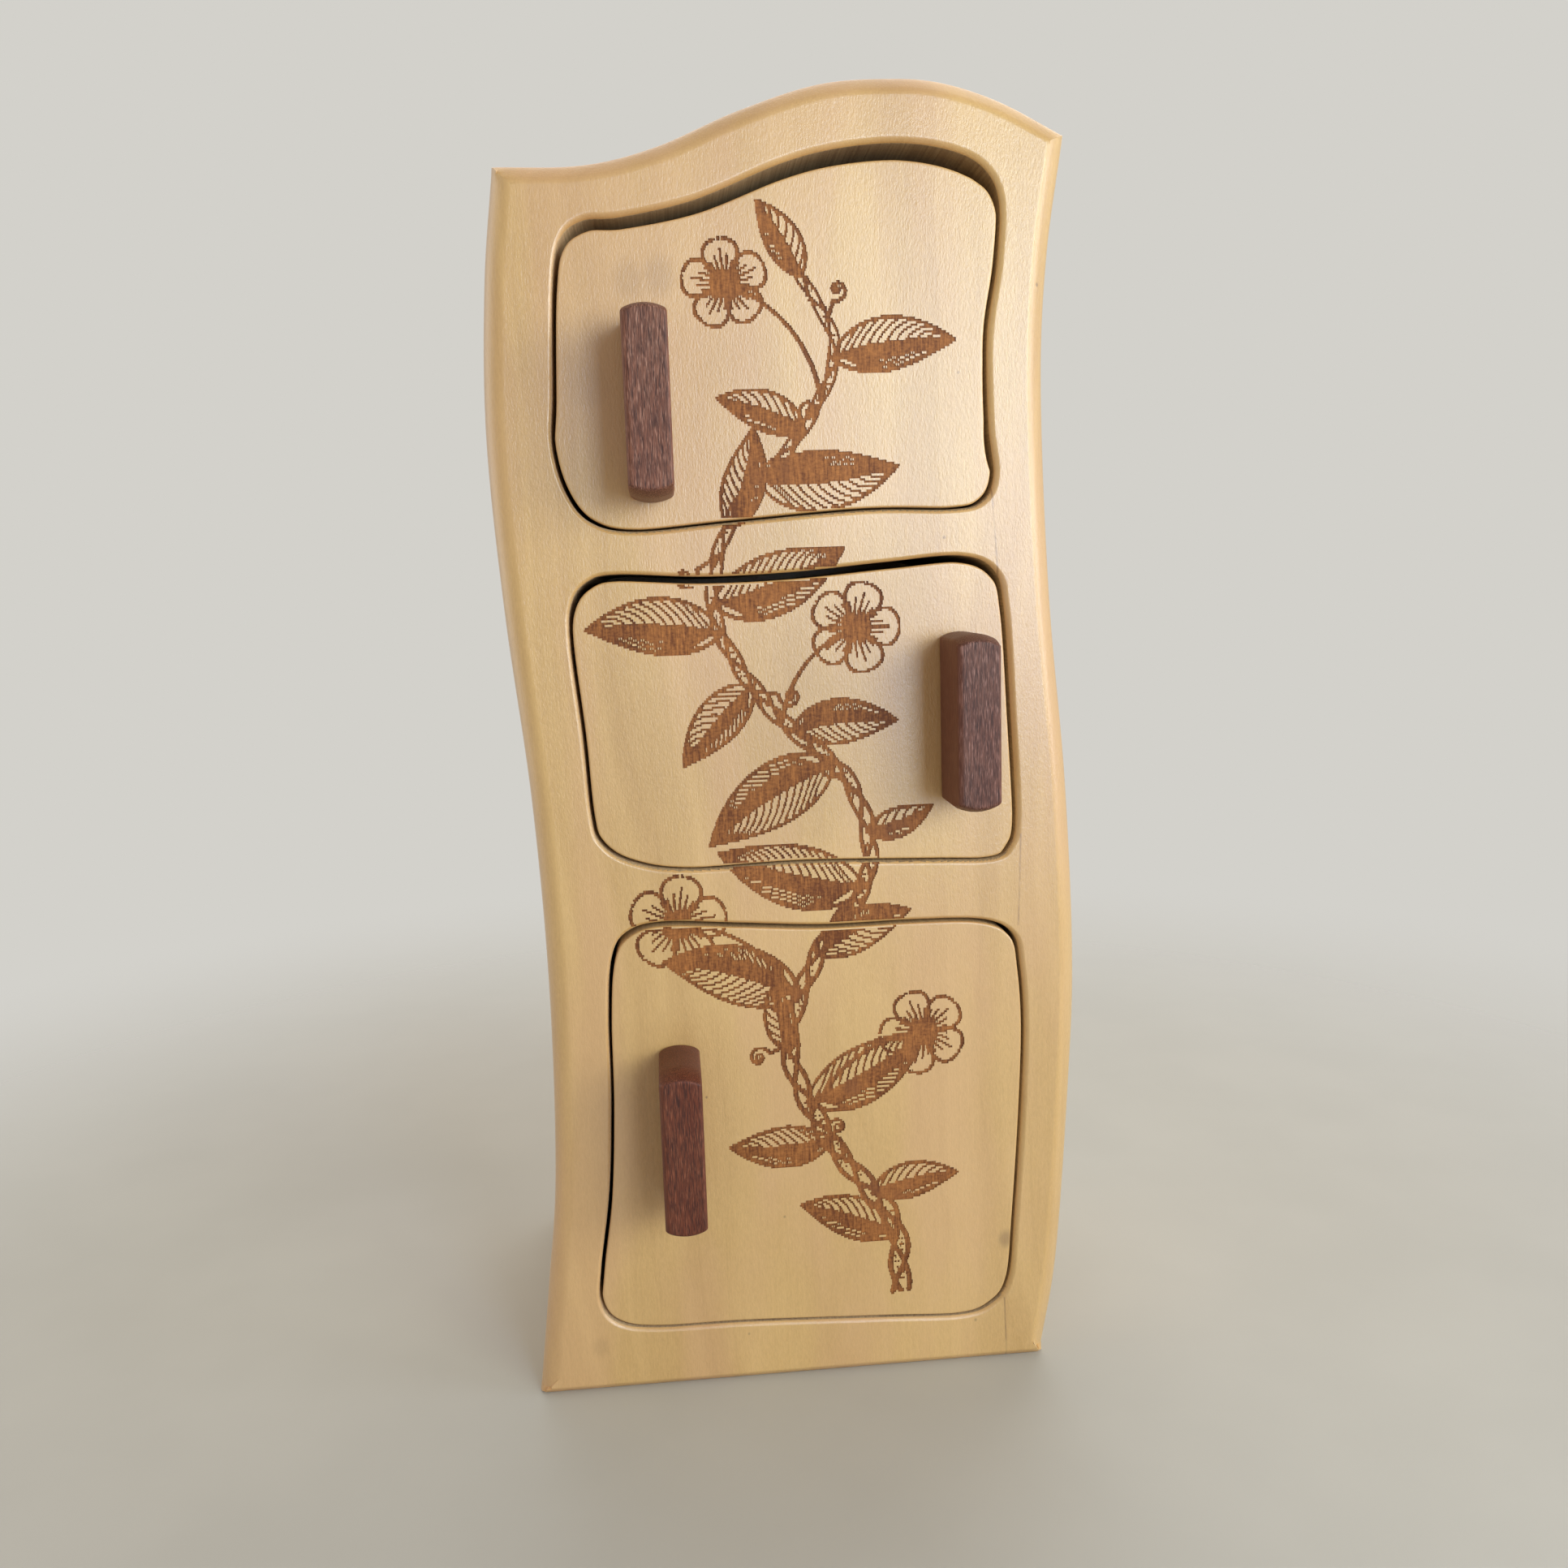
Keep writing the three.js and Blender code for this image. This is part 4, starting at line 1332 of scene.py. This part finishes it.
@dataclass
class Case:
    """The case: four boards with the three openings sawn through, and a back panel glued on."""

    finishes: Finishes
    burning: Burning
    height: float = 305.5
    rear: float = 50.2
    back_thickness: float = 12
    edge: Easing = Easing(5.0, 4.6, 4.6, 2.2, 0.7, 0.1)
    # Painted shade: how wide the darker rim round each opening is, widest at its floor.
    painted_gap_shade_rim: Easing = Easing(0.12, 0.12, 0.1, 0.45, 0, 0)
    steps: int = 14
    boards: tuple[str, ...] = (
        "case_front_board", "case_second_board", "case_third_board", "case_rear_board",
    )
    left_side: tuple[tuple[float, float], ...] = (
        (0.046, 0.941), (0.022, 0.858), (0.010, 0.753), (0.022, 0.628), (0.048, 0.484), (0.058, 0.334),
        (0.049, 0.183), (0.024, 0.085), (0.000, 0.000),
    )
    right_side: tuple[tuple[float, float], ...] = (
        (0.939, 0.000), (0.970, 0.085), (0.993, 0.236), (1.000, 0.340), (0.986, 0.481), (0.957, 0.628),
        (0.943, 0.779), (0.952, 0.874), (0.980, 0.961),
    )
    top_side: tuple[tuple[float, float], ...] = (
        (0.980, 0.961), (0.875, 0.984), (0.779, 0.997), (0.691, 1.000), (0.573, 0.996), (0.440, 0.978),
        (0.307, 0.954), (0.189, 0.942), (0.046, 0.941),
    )

    @cached_property
    def outline(self) -> np.ndarray:
        """The case's outline, anticlockwise from its top left corner."""
        corner, size = np.array([CASE_LEFT, 0]), np.array([CASE_WIDTH, self.height])
        sides = [np.array(side) * size + corner for side in (self.left_side, self.right_side, self.top_side)]
        base = sides[0][-1] + (sides[1][0] - sides[0][-1]) * np.linspace(0, 1, 85)[:-1, None]
        left, right, top = (smooth_curve(side, self.steps, False) for side in sides)
        return np.vstack([left, base, right, top])

    def board(self, number: int) -> Board:
        """One of the four sawn boards, closed up to its neighbour over half of the glue line."""
        region = Region(self.outline, [opening.outline for opening in OPENINGS])
        face = FRONT + number * BOARD_PITCH
        if number:
            return Board(region, [], face - GLUE, face + BOARD_PITCH - GLUE)
        rims = [Rim(self.outline, self.edge, 11)]
        rims += [Rim(opening.outline, opening.mouth, 6, hole=True) for opening in OPENINGS]
        return Board(region, rims, face, face + BOARD_PITCH - GLUE, burning=self.burning)

    def shell(self, number: int) -> Shell:
        """A sawn board: its openings' walls are as sawn and its outer walls sanded. The very rims of the
        openings take the sawn brown as painted shade of the gap line, widest at the floor.
        """
        board = self.board(number)
        shell = board.shell(wall_finish=2, far_finish=2)
        middle = shell.points[shell.triangles].mean(axis=1)[:, [0, 2]]
        shell.finish[(shell.finish == 2) & (wall_distance(middle, self.outline) < 0.3)] = 0
        # Painted shade: a thin rim round each opening takes the darker sawn finish, widest along the floor,
        # to deepen the gap line.
        for opening in OPENINGS:
            rim = Rim(opening.outline, self.painted_gap_shade_rim, 1, hole=True).drop(middle) > 0
            shell.finish[(shell.finish == 0) & rim] = 2
        return shell

    def build(self) -> None:
        """Makes the five boards."""
        finishes = [self.finishes.case, self.finishes.burnt, self.finishes.sawn]
        for number, name in enumerate(self.boards):
            make_piece(f"{name}_finished", self.shell(number), finishes, Body.CASE, [name])
        panel = Board(
            Region(self.outline), [Rim(self.outline, self.edge, 11)], self.rear,
            self.rear - self.back_thickness - GLUE, Facing.REAR,
        )
        name = "case_back_panel"
        make_piece(f"{name}_finished", panel.shell(), finishes[:1], Body.CASE, [name])


@dataclass
class Pull:
    """An upright bar pull, shaped by hand: domed ends, and edges eased more behind and left than right.

    A section is a rectangle whose four corners are quarter circles of their own. The ends fall away
    from the middle line across the bar as a circle does, and towards the front as a square over a
    short way.
    """

    middle: np.ndarray
    face: float = -50.25
    width: float = 9.7
    depth: float = 20
    length: float = 40
    corners: tuple[float, float, float, float] = (1.1, 1.6, 1.3, 0.7)
    end_round: float = 0.5
    dome: float = 1.3
    front_fall: float = 1.4
    fall_way: float = 6
    corner_steps: int = 9
    side_steps: int = 14
    up: int = 64

    def section(self, drawn_in: float) -> np.ndarray:
        """The rectangle drawn in by a distance, as points (x, y) from its right rear corner round."""
        half = np.array([self.width / 2, self.depth / 2])
        signs = np.array([[1, 1], [-1, 1], [-1, -1], [1, -1]])
        middles, arcs = [], []
        for number, (sign, radius) in enumerate(zip(signs, self.corners)):
            shape = half - radius
            scale = np.maximum(half - drawn_in, 0.02) / half
            turn = np.linspace(0, math.pi / 2, self.corner_steps) + number * math.pi / 2
            arcs.append((sign * shape + radius * np.column_stack([np.cos(turn), np.sin(turn)])) * scale)
        for arc, following in zip(arcs, arcs[1:] + arcs[:1]):
            t = np.linspace(0, 1, self.side_steps + 2)[1:-1, None]
            middles += [arc, arc[-1] + (following[0] - arc[-1]) * t]
        return np.vstack(middles)

    def cap_height(self, section: np.ndarray) -> np.ndarray:
        """How far an end lies under the bar's full length at each point of a section."""
        half = self.width / 2
        radius = (half**2 + self.dome**2) / (2 * self.dome)
        across = radius - np.sqrt(np.maximum(radius**2 - section[:, 0] ** 2, 0))
        ahead = np.clip(1 - (section[:, 1] + self.depth / 2) / self.fall_way, 0, 1)
        return across + self.front_fall * ahead**2

    def end(self, side: int) -> list[np.ndarray]:
        """The rings of one end, from its middle out to the sides."""
        turns = np.linspace(math.pi / 2, 0, 6)
        flat = [(self.end_round + (self.width / 2 - self.end_round) * share, 0.0)
                for share in np.linspace(0.98, 0.1, 9)]
        eased = [(self.end_round * (1 - math.cos(t)), self.end_round * (1 - math.sin(t))) for t in turns]
        rings = []
        for drawn_in, drop in flat + eased:
            section = self.section(drawn_in)
            z = self.length / 2 - self.cap_height(section) - drop
            rings.append(np.column_stack([section, side * z]))
        return rings

    def shell(self) -> Shell:
        """The closed bar: rings from the middle of the lower end, up the sides, to the upper end."""
        lower, upper = self.end(-1), self.end(1)[::-1]
        sides = [lower[-1] + (upper[0] - lower[-1]) * share for share in np.linspace(0, 1, self.up)[1:-1]]
        stack = [*lower, *sides, *upper]
        points = np.vstack(stack)
        tips = np.array([[0, 0, z] for z in (lower[0][:, 2].mean(), upper[-1][:, 2].mean())])
        count, levels = len(lower[0]), len(stack)
        level, spot = np.mgrid[0 : levels - 1, 0:count].reshape(2, -1)
        following = (spot + 1) % count
        a, b = level * count + spot, level * count + following
        ring = np.arange(count)
        after = (ring + 1) % count
        top = (levels - 1) * count
        triangles = np.vstack([
            np.column_stack([a, b, b + count]), np.column_stack([a, b + count, a + count]),
            np.column_stack([after, ring, np.full(count, len(points))]),
            np.column_stack([ring + top, after + top, np.full(count, len(points) + 1)]),
        ])
        place = [self.middle[0], self.face - self.depth / 2, self.middle[1]]
        return Shell(np.vstack([points, tips]) + place, triangles, np.zeros(len(triangles), int))


@dataclass
class Drawer:
    """A drawer: its front slice, hollowed core, rear slice, felt lining, pull and dowels."""

    opening: Opening
    finishes: Finishes
    burning: Burning
    front_thickness: float = 8
    core_front: float = -42.1
    core_rear: float = 29.0
    rear: float = 37.1
    wall: float = 9
    floor: float = 8
    ease: Easing = Easing(0.4, 0.4, 0.4, 0.4, 0.3, 0.3)
    mouth_share: float = 0.74
    felt_thickness: float = 1.2
    felt_gap: float = 0.3
    felt_wave: float = 0.1
    rim_round: float = 1.6

    @cached_property
    def bowl(self) -> np.ndarray:
        """The curved part of the hollow, from its left wall round the floor to its right wall.

        It is the drawer's outline, drawn in across its middle by the walls and down from its top by
        the floor, under the level of the mouth.
        """
        outline = self.opening.drawer_outline
        low, high = outline.min(0), outline.max(0)
        size = high - low
        scale = np.array([(size[0] - 2 * self.wall) / size[0], (size[1] - self.floor) / size[1]])
        fixed = np.array([(low[0] + high[0]) / 2, high[1]])
        drawn = fixed + (outline - fixed) * scale
        return drawn[drawn[:, 1] < low[1] + size[1] * self.mouth_share]

    def section(self) -> np.ndarray:
        """The core's section: the drawer's outline with the hollow open at its top."""
        outline = self.opening.drawer_outline
        bowl = self.bowl
        above = outline[:, 1] > bowl[0, 1]
        roof = above & (outline[:, 0] > bowl[0, 0]) & (outline[:, 0] < bowl[-1, 0])
        kept = np.roll(outline, -int(np.argmax(~roof)), 0)
        kept = kept[~np.roll(roof, -int(np.argmax(~roof)))]
        left_top = np.array([bowl[0, 0], np.interp(bowl[0, 0], *self.roof_line(outline, above))])
        right_top = np.array([bowl[-1, 0], np.interp(bowl[-1, 0], *self.roof_line(outline, above))])
        for corner in (left_top, right_top):
            kept = kept[np.linalg.norm(kept - corner, axis=1) > 1.1 * self.rim_round]
        left_rim = self.eased(left_top, kept[0], bowl[0])
        right_rim = self.eased(right_top, bowl[-1], kept[-1])
        return np.vstack([left_rim, kept, right_rim, bowl[::-1]])

    @staticmethod
    def roof_line(outline: np.ndarray, above: np.ndarray) -> tuple[np.ndarray, np.ndarray]:
        """The drawer's top as heights over x, from left to right."""
        top = outline[above]
        order = np.argsort(top[:, 0])
        return top[order, 0], top[order, 1]

    def eased(self, corner: np.ndarray, after: np.ndarray, before: np.ndarray) -> np.ndarray:
        """A corner rounded by a quadratic curve, from its side before to its side after."""
        start = corner + unit((before - corner)[None])[0] * self.rim_round
        end = corner + unit((after - corner)[None])[0] * self.rim_round
        t = np.linspace(0, 1, 7)[:, None]
        return (1 - t) ** 2 * start + 2 * t * (1 - t) * corner + t**2 * end

    def felt_shell(self) -> Shell:
        """The felt sheet along the bowl, with a soft edge all round and a little unevenness.

        Its half thickness near an edge follows a half circle. The face that shows waves by a tenth of
        a millimetre, as a product of sines along and across the sheet.
        """
        bowl = self.bowl
        way = np.concatenate([[0], np.cumsum(np.linalg.norm(np.diff(bowl, axis=0), axis=1))])
        along = self.graded(0.0, way[-1], 150)
        depth = self.graded(self.core_front + self.felt_gap, self.core_rear - self.felt_gap, 60)
        path = np.column_stack([np.interp(along, way, bowl[:, k]) for k in (0, 1)])
        ahead = unit(np.gradient(path, axis=0))
        inward = np.column_stack([-ahead[:, 1], ahead[:, 0]])
        half = self.felt_thickness / 2
        u = np.minimum(along - along[0], along[-1] - along)[:, None] / half
        v = np.minimum(depth - depth[0], depth[-1] - depth)[None] / half
        near = np.clip(np.minimum(u, v), 0, 1)
        thick = half * np.sqrt(np.maximum(1 - (1 - near) ** 2, 0))
        swing = np.sin(along[:, None] * 0.9 + 2 * np.sin(depth[None] * 0.35))
        wave = self.felt_wave * swing * np.sin(depth[None] * 0.8) * near
        sheets = []
        for side in (-1, 1):
            off = self.felt_gap + half + side * thick + (wave if side > 0 else 0)
            flat = path[:, None] + inward[:, None] * off[..., None]
            y = np.broadcast_to(depth, off.shape)
            sheets.append(np.dstack([flat[..., 0], y, flat[..., 1]]).reshape(-1, 3))
        rows, columns = len(along), len(depth)
        numbers = np.arange(rows * columns).reshape(rows, columns)
        cell = (numbers[:-1, :-1], numbers[1:, :-1], numbers[1:, 1:], numbers[:-1, 1:])
        a, b, c, d = (corner.ravel() for corner in cell)
        under = np.vstack([np.column_stack([a, b, c]), np.column_stack([a, c, d])])
        edge = np.ones((rows, columns), bool)
        edge[1:-1, 1:-1] = False
        under = under[~edge.ravel()[under].all(axis=1)]
        over = numbers + rows * columns
        over[edge] = numbers[edge]
        triangles = np.vstack([under[:, ::-1], over.ravel()[under]])
        return Shell(np.vstack(sheets), triangles, np.zeros(len(triangles), int))

    @staticmethod
    def graded(start: float, end: float, count: int) -> np.ndarray:
        """Numbers from start to end, close together near both ends."""
        edge = np.array([0, 0.08, 0.2, 0.38, 0.6])
        return np.concatenate([start + edge, np.linspace(start + 0.9, end - 0.9, count), end - edge[::-1]])

    def build(self) -> None:
        """Makes the drawer's pieces and dresses its dowels."""
        stem, body = self.opening.stem, self.opening.body
        outline = self.opening.drawer_outline
        whole = Region(outline)
        wood = [self.finishes.drawer, self.finishes.burnt, self.finishes.drawer_sawn, self.finishes.inner]
        front = Board(
            whole, [Rim(outline, self.ease, 3)], FRONT, FRONT + self.front_thickness + GLUE,
            burning=self.burning,
        )
        name = f"{stem}_drawer_front"
        make_piece(f"{name}_finished", front.shell(2, 3), wood, body, [name])
        section = self.section()
        core = Board(Region(section), [], self.core_front - GLUE, self.core_rear + GLUE)
        shell = core.shell(3, 3)
        middle = shell.points[shell.triangles].mean(axis=1)[:, [0, 2]]
        shell.finish[(shell.finish == 3) & (wall_distance(middle, outline) < 0.2)] = 2
        name = f"{stem}_drawer_core"
        make_piece(f"{name}_finished", shell, wood, body, [name])
        back = Board(whole, [Rim(outline, self.ease, 3)], self.rear, self.core_rear + GLUE, Facing.REAR)
        shell = back.shell(2, 3)
        shell.finish[shell.finish == 0] = 3
        name = f"{stem}_drawer_back"
        make_piece(f"{name}_finished", shell, wood, body, [name])
        self.build_felt(stem, body)
        name = f"{stem}_pull"
        pull = Pull(self.opening.pull_middle).shell()
        make_piece(f"{name}_finished", pull, [self.finishes.pulls[body]], body, [name], crease=48)
        for place in ("upper", "lower"):
            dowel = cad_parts[f"{stem}_pull_{place}_dowel"]
            dowel.data.materials.clear()
            dowel.data.materials.append(self.finishes.dowel)

    def build_felt(self, stem: str, body: Body) -> None:
        """Makes the felt."""
        name = f"{stem}_drawer_liner"
        piece = make_piece(
            f"{name}_felt", self.felt_shell(), [self.finishes.felt], body, [name], crease=60,
        )


@dataclass(frozen=True)
class Lamp:
    """A soft rectangular lamp: its place and aim in metres, its size, power and tint, and its spread."""

    name: str
    place: Triple
    aim: Triple
    size: tuple[float, float]
    watts: float
    tint: Triple
    spread: float = 180


LAMPS = (
    Lamp("key", (0.47, -0.60, 0.36), (0.05, -0.05, 0.25), (0.3, 0.35), 0.46, (0.93, 1.0, 0.85), 80),
    Lamp("window", (0.27, -0.80, 0.29), (0.03, -0.05, 0.22), (0.2, 0.44), 2.7, (0.61, 0.76, 1.0)),
    Lamp("side", (0.85, -0.30, 0.30), (0.05, -0.05, 0.2), (0.35, 0.45), 2.6, (0.88, 0.87, 0.92)),
    Lamp("wall", (-1.0, 0.15, 0.35), (0, 0, 0.15), (0.8, 0.8), 2.3, (1.0, 0.94, 0.83)),
    Lamp("top", (0.2, 0.85, 1.05), (0, 0, 0.2), (1.2, 1.2), 8.0, (1.0, 0.97, 0.93)),
)


@dataclass
class Studio:
    """The camera at the photograph's angle, the lamps, a pale floor and the backdrop.

    The camera's angles and place come from the box's own upright and level lines in the photograph. A
    small key lamp gives the pulls their shadows, a cool window lamp shines in the lacquer, and lamps at
    the side, the wall and the top fill in.
    """

    camera_place: Triple = (-24.487, -350.2, 196.874)
    camera_turn: Triple = (81.1961, 1.7865, -5.2501)
    lens: float = 29.97
    floor_radius: float = 2.2
    backdrop: Colour = (211, 209, 203)
    floor: Colour = (196, 197, 190)
    floor_shade: Colour = (186, 187, 180)
    fill_tint: tuple[float, float, float, float] = (1.0, 0.83, 0.69, 1)
    fill_strength: float = 0.38
    lamps: tuple[Lamp, ...] = LAMPS

    def camera(self) -> None:
        """Places the camera."""
        data = bpy.data.cameras.new("camera")
        data.lens, data.sensor_width = self.lens, 36
        data.clip_start, data.clip_end = 0.01, 20
        camera = bpy.data.objects.new("camera", data)
        camera.location = [size * MM for size in self.camera_place]
        camera.rotation_euler = [math.radians(angle) for angle in self.camera_turn]
        bpy.context.scene.collection.objects.link(camera)
        bpy.context.scene.camera = camera

    def hang(self, lamp: Lamp) -> None:
        """Makes a lamp and turns it to its aim."""
        data = bpy.data.lights.new(lamp.name, "AREA")
        data.shape, data.size, data.size_y = "RECTANGLE", *lamp.size
        data.energy, data.color, data.spread = lamp.watts, lamp.tint, math.radians(lamp.spread)
        hung = bpy.data.objects.new(lamp.name, data)
        way = np.array(lamp.aim) - np.array(lamp.place)
        back = -way / np.linalg.norm(way)
        right = np.cross([0, 0, 1], back)
        right /= np.linalg.norm(right)
        turn = np.eye(4)
        turn[:3, :3] = np.column_stack([right, np.cross(back, right), back])
        turn[:3, 3] = lamp.place
        hung.matrix_world = Matrix(turn.tolist())
        bpy.context.scene.collection.objects.link(hung)

    def world(self) -> None:
        """A plain backdrop for the camera and reflections, and an even soft light for everything else."""
        world = bpy.data.worlds.new("backdrop")
        world.use_nodes = True
        nodes, links = world.node_tree.nodes, world.node_tree.links
        nodes.clear()
        output = nodes.new("ShaderNodeOutputWorld")
        seen, light = nodes.new("ShaderNodeBackground"), nodes.new("ShaderNodeBackground")
        seen.inputs["Color"].default_value = linear(self.backdrop)
        light.inputs["Color"].default_value = self.fill_tint
        light.inputs["Strength"].default_value = self.fill_strength
        rays = nodes.new("ShaderNodeLightPath")
        shown = rays.outputs["Is Camera Ray"]
        for title in ("Is Glossy Ray", "Is Transmission Ray"):
            either = nodes.new("ShaderNodeMath")
            either.operation = "MAXIMUM"
            links.new(shown, either.inputs[0])
            links.new(rays.outputs[title], either.inputs[1])
            shown = either.outputs[0]
        mix = nodes.new("ShaderNodeMixShader")
        links.new(shown, mix.inputs["Fac"])
        links.new(light.outputs[0], mix.inputs[1])
        links.new(seen.outputs[0], mix.inputs[2])
        links.new(mix.outputs[0], output.inputs["Surface"])
        bpy.context.scene.world = world

    def floor_disc(self) -> None:
        """A pale floor that fades into the backdrop far from the box."""
        turn = np.linspace(0, 2 * math.pi, 64, endpoint=False)
        points = np.column_stack([np.cos(turn), np.sin(turn), 0 * turn]) * self.floor_radius
        mesh = bpy.data.meshes.new("floor")
        mesh.from_pydata(points.tolist(), [], [list(range(64))])
        floor = bpy.data.objects.new("floor", mesh)
        bpy.context.scene.collection.objects.link(floor)
        recipe = Recipe("pale_floor")
        away = recipe.reach("LENGTH", recipe.reach("MULTIPLY", recipe.place, (1, 1, 0)), (0, 0, 0))
        speckle = recipe.noise((0.02, 0.02, 0.02), 3, 0.5)
        colour = recipe.blend(recipe.step(speckle, 0.3, 0.7, 0, 0.35), self.floor, self.floor_shade)
        material = recipe.finish(colour, 0.6)
        clear = recipe.nodes.new("ShaderNodeBsdfTransparent")
        mix = recipe.nodes.new("ShaderNodeMixShader")
        output = next(node for node in recipe.nodes if node.type == "OUTPUT_MATERIAL")
        recipe.put(mix.inputs["Fac"], recipe.step(away, 150, 520))
        recipe.links.new(recipe.shader.outputs[0], mix.inputs[1])
        recipe.links.new(clear.outputs[0], mix.inputs[2])
        recipe.links.new(mix.outputs[0], output.inputs["Surface"])
        mesh.materials.append(material)
        floor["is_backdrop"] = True

    def build(self) -> None:
        """Sets the whole stage."""
        self.camera()
        self.world()
        self.floor_disc()
        for lamp in self.lamps:
            self.hang(lamp)
        bpy.context.scene.view_settings.view_transform = "Standard"


def corners() -> list[list[float]]:
    """The shown object's lowest and highest corner as plain lists."""
    return [[float(value) for value in corner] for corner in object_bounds()]


def main() -> None:
    """Builds the stage, the case and the three drawers."""
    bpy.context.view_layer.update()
    Studio().build()
    finishes = make_finishes()
    burning = Burning(VineDrawing())
    Case(finishes, burning).build()
    for opening in OPENINGS:
        Drawer(opening, finishes, burning).build()


if __name__ == "__main__":
    logging.basicConfig(level=logging.INFO, format="%(message)s")
    main()
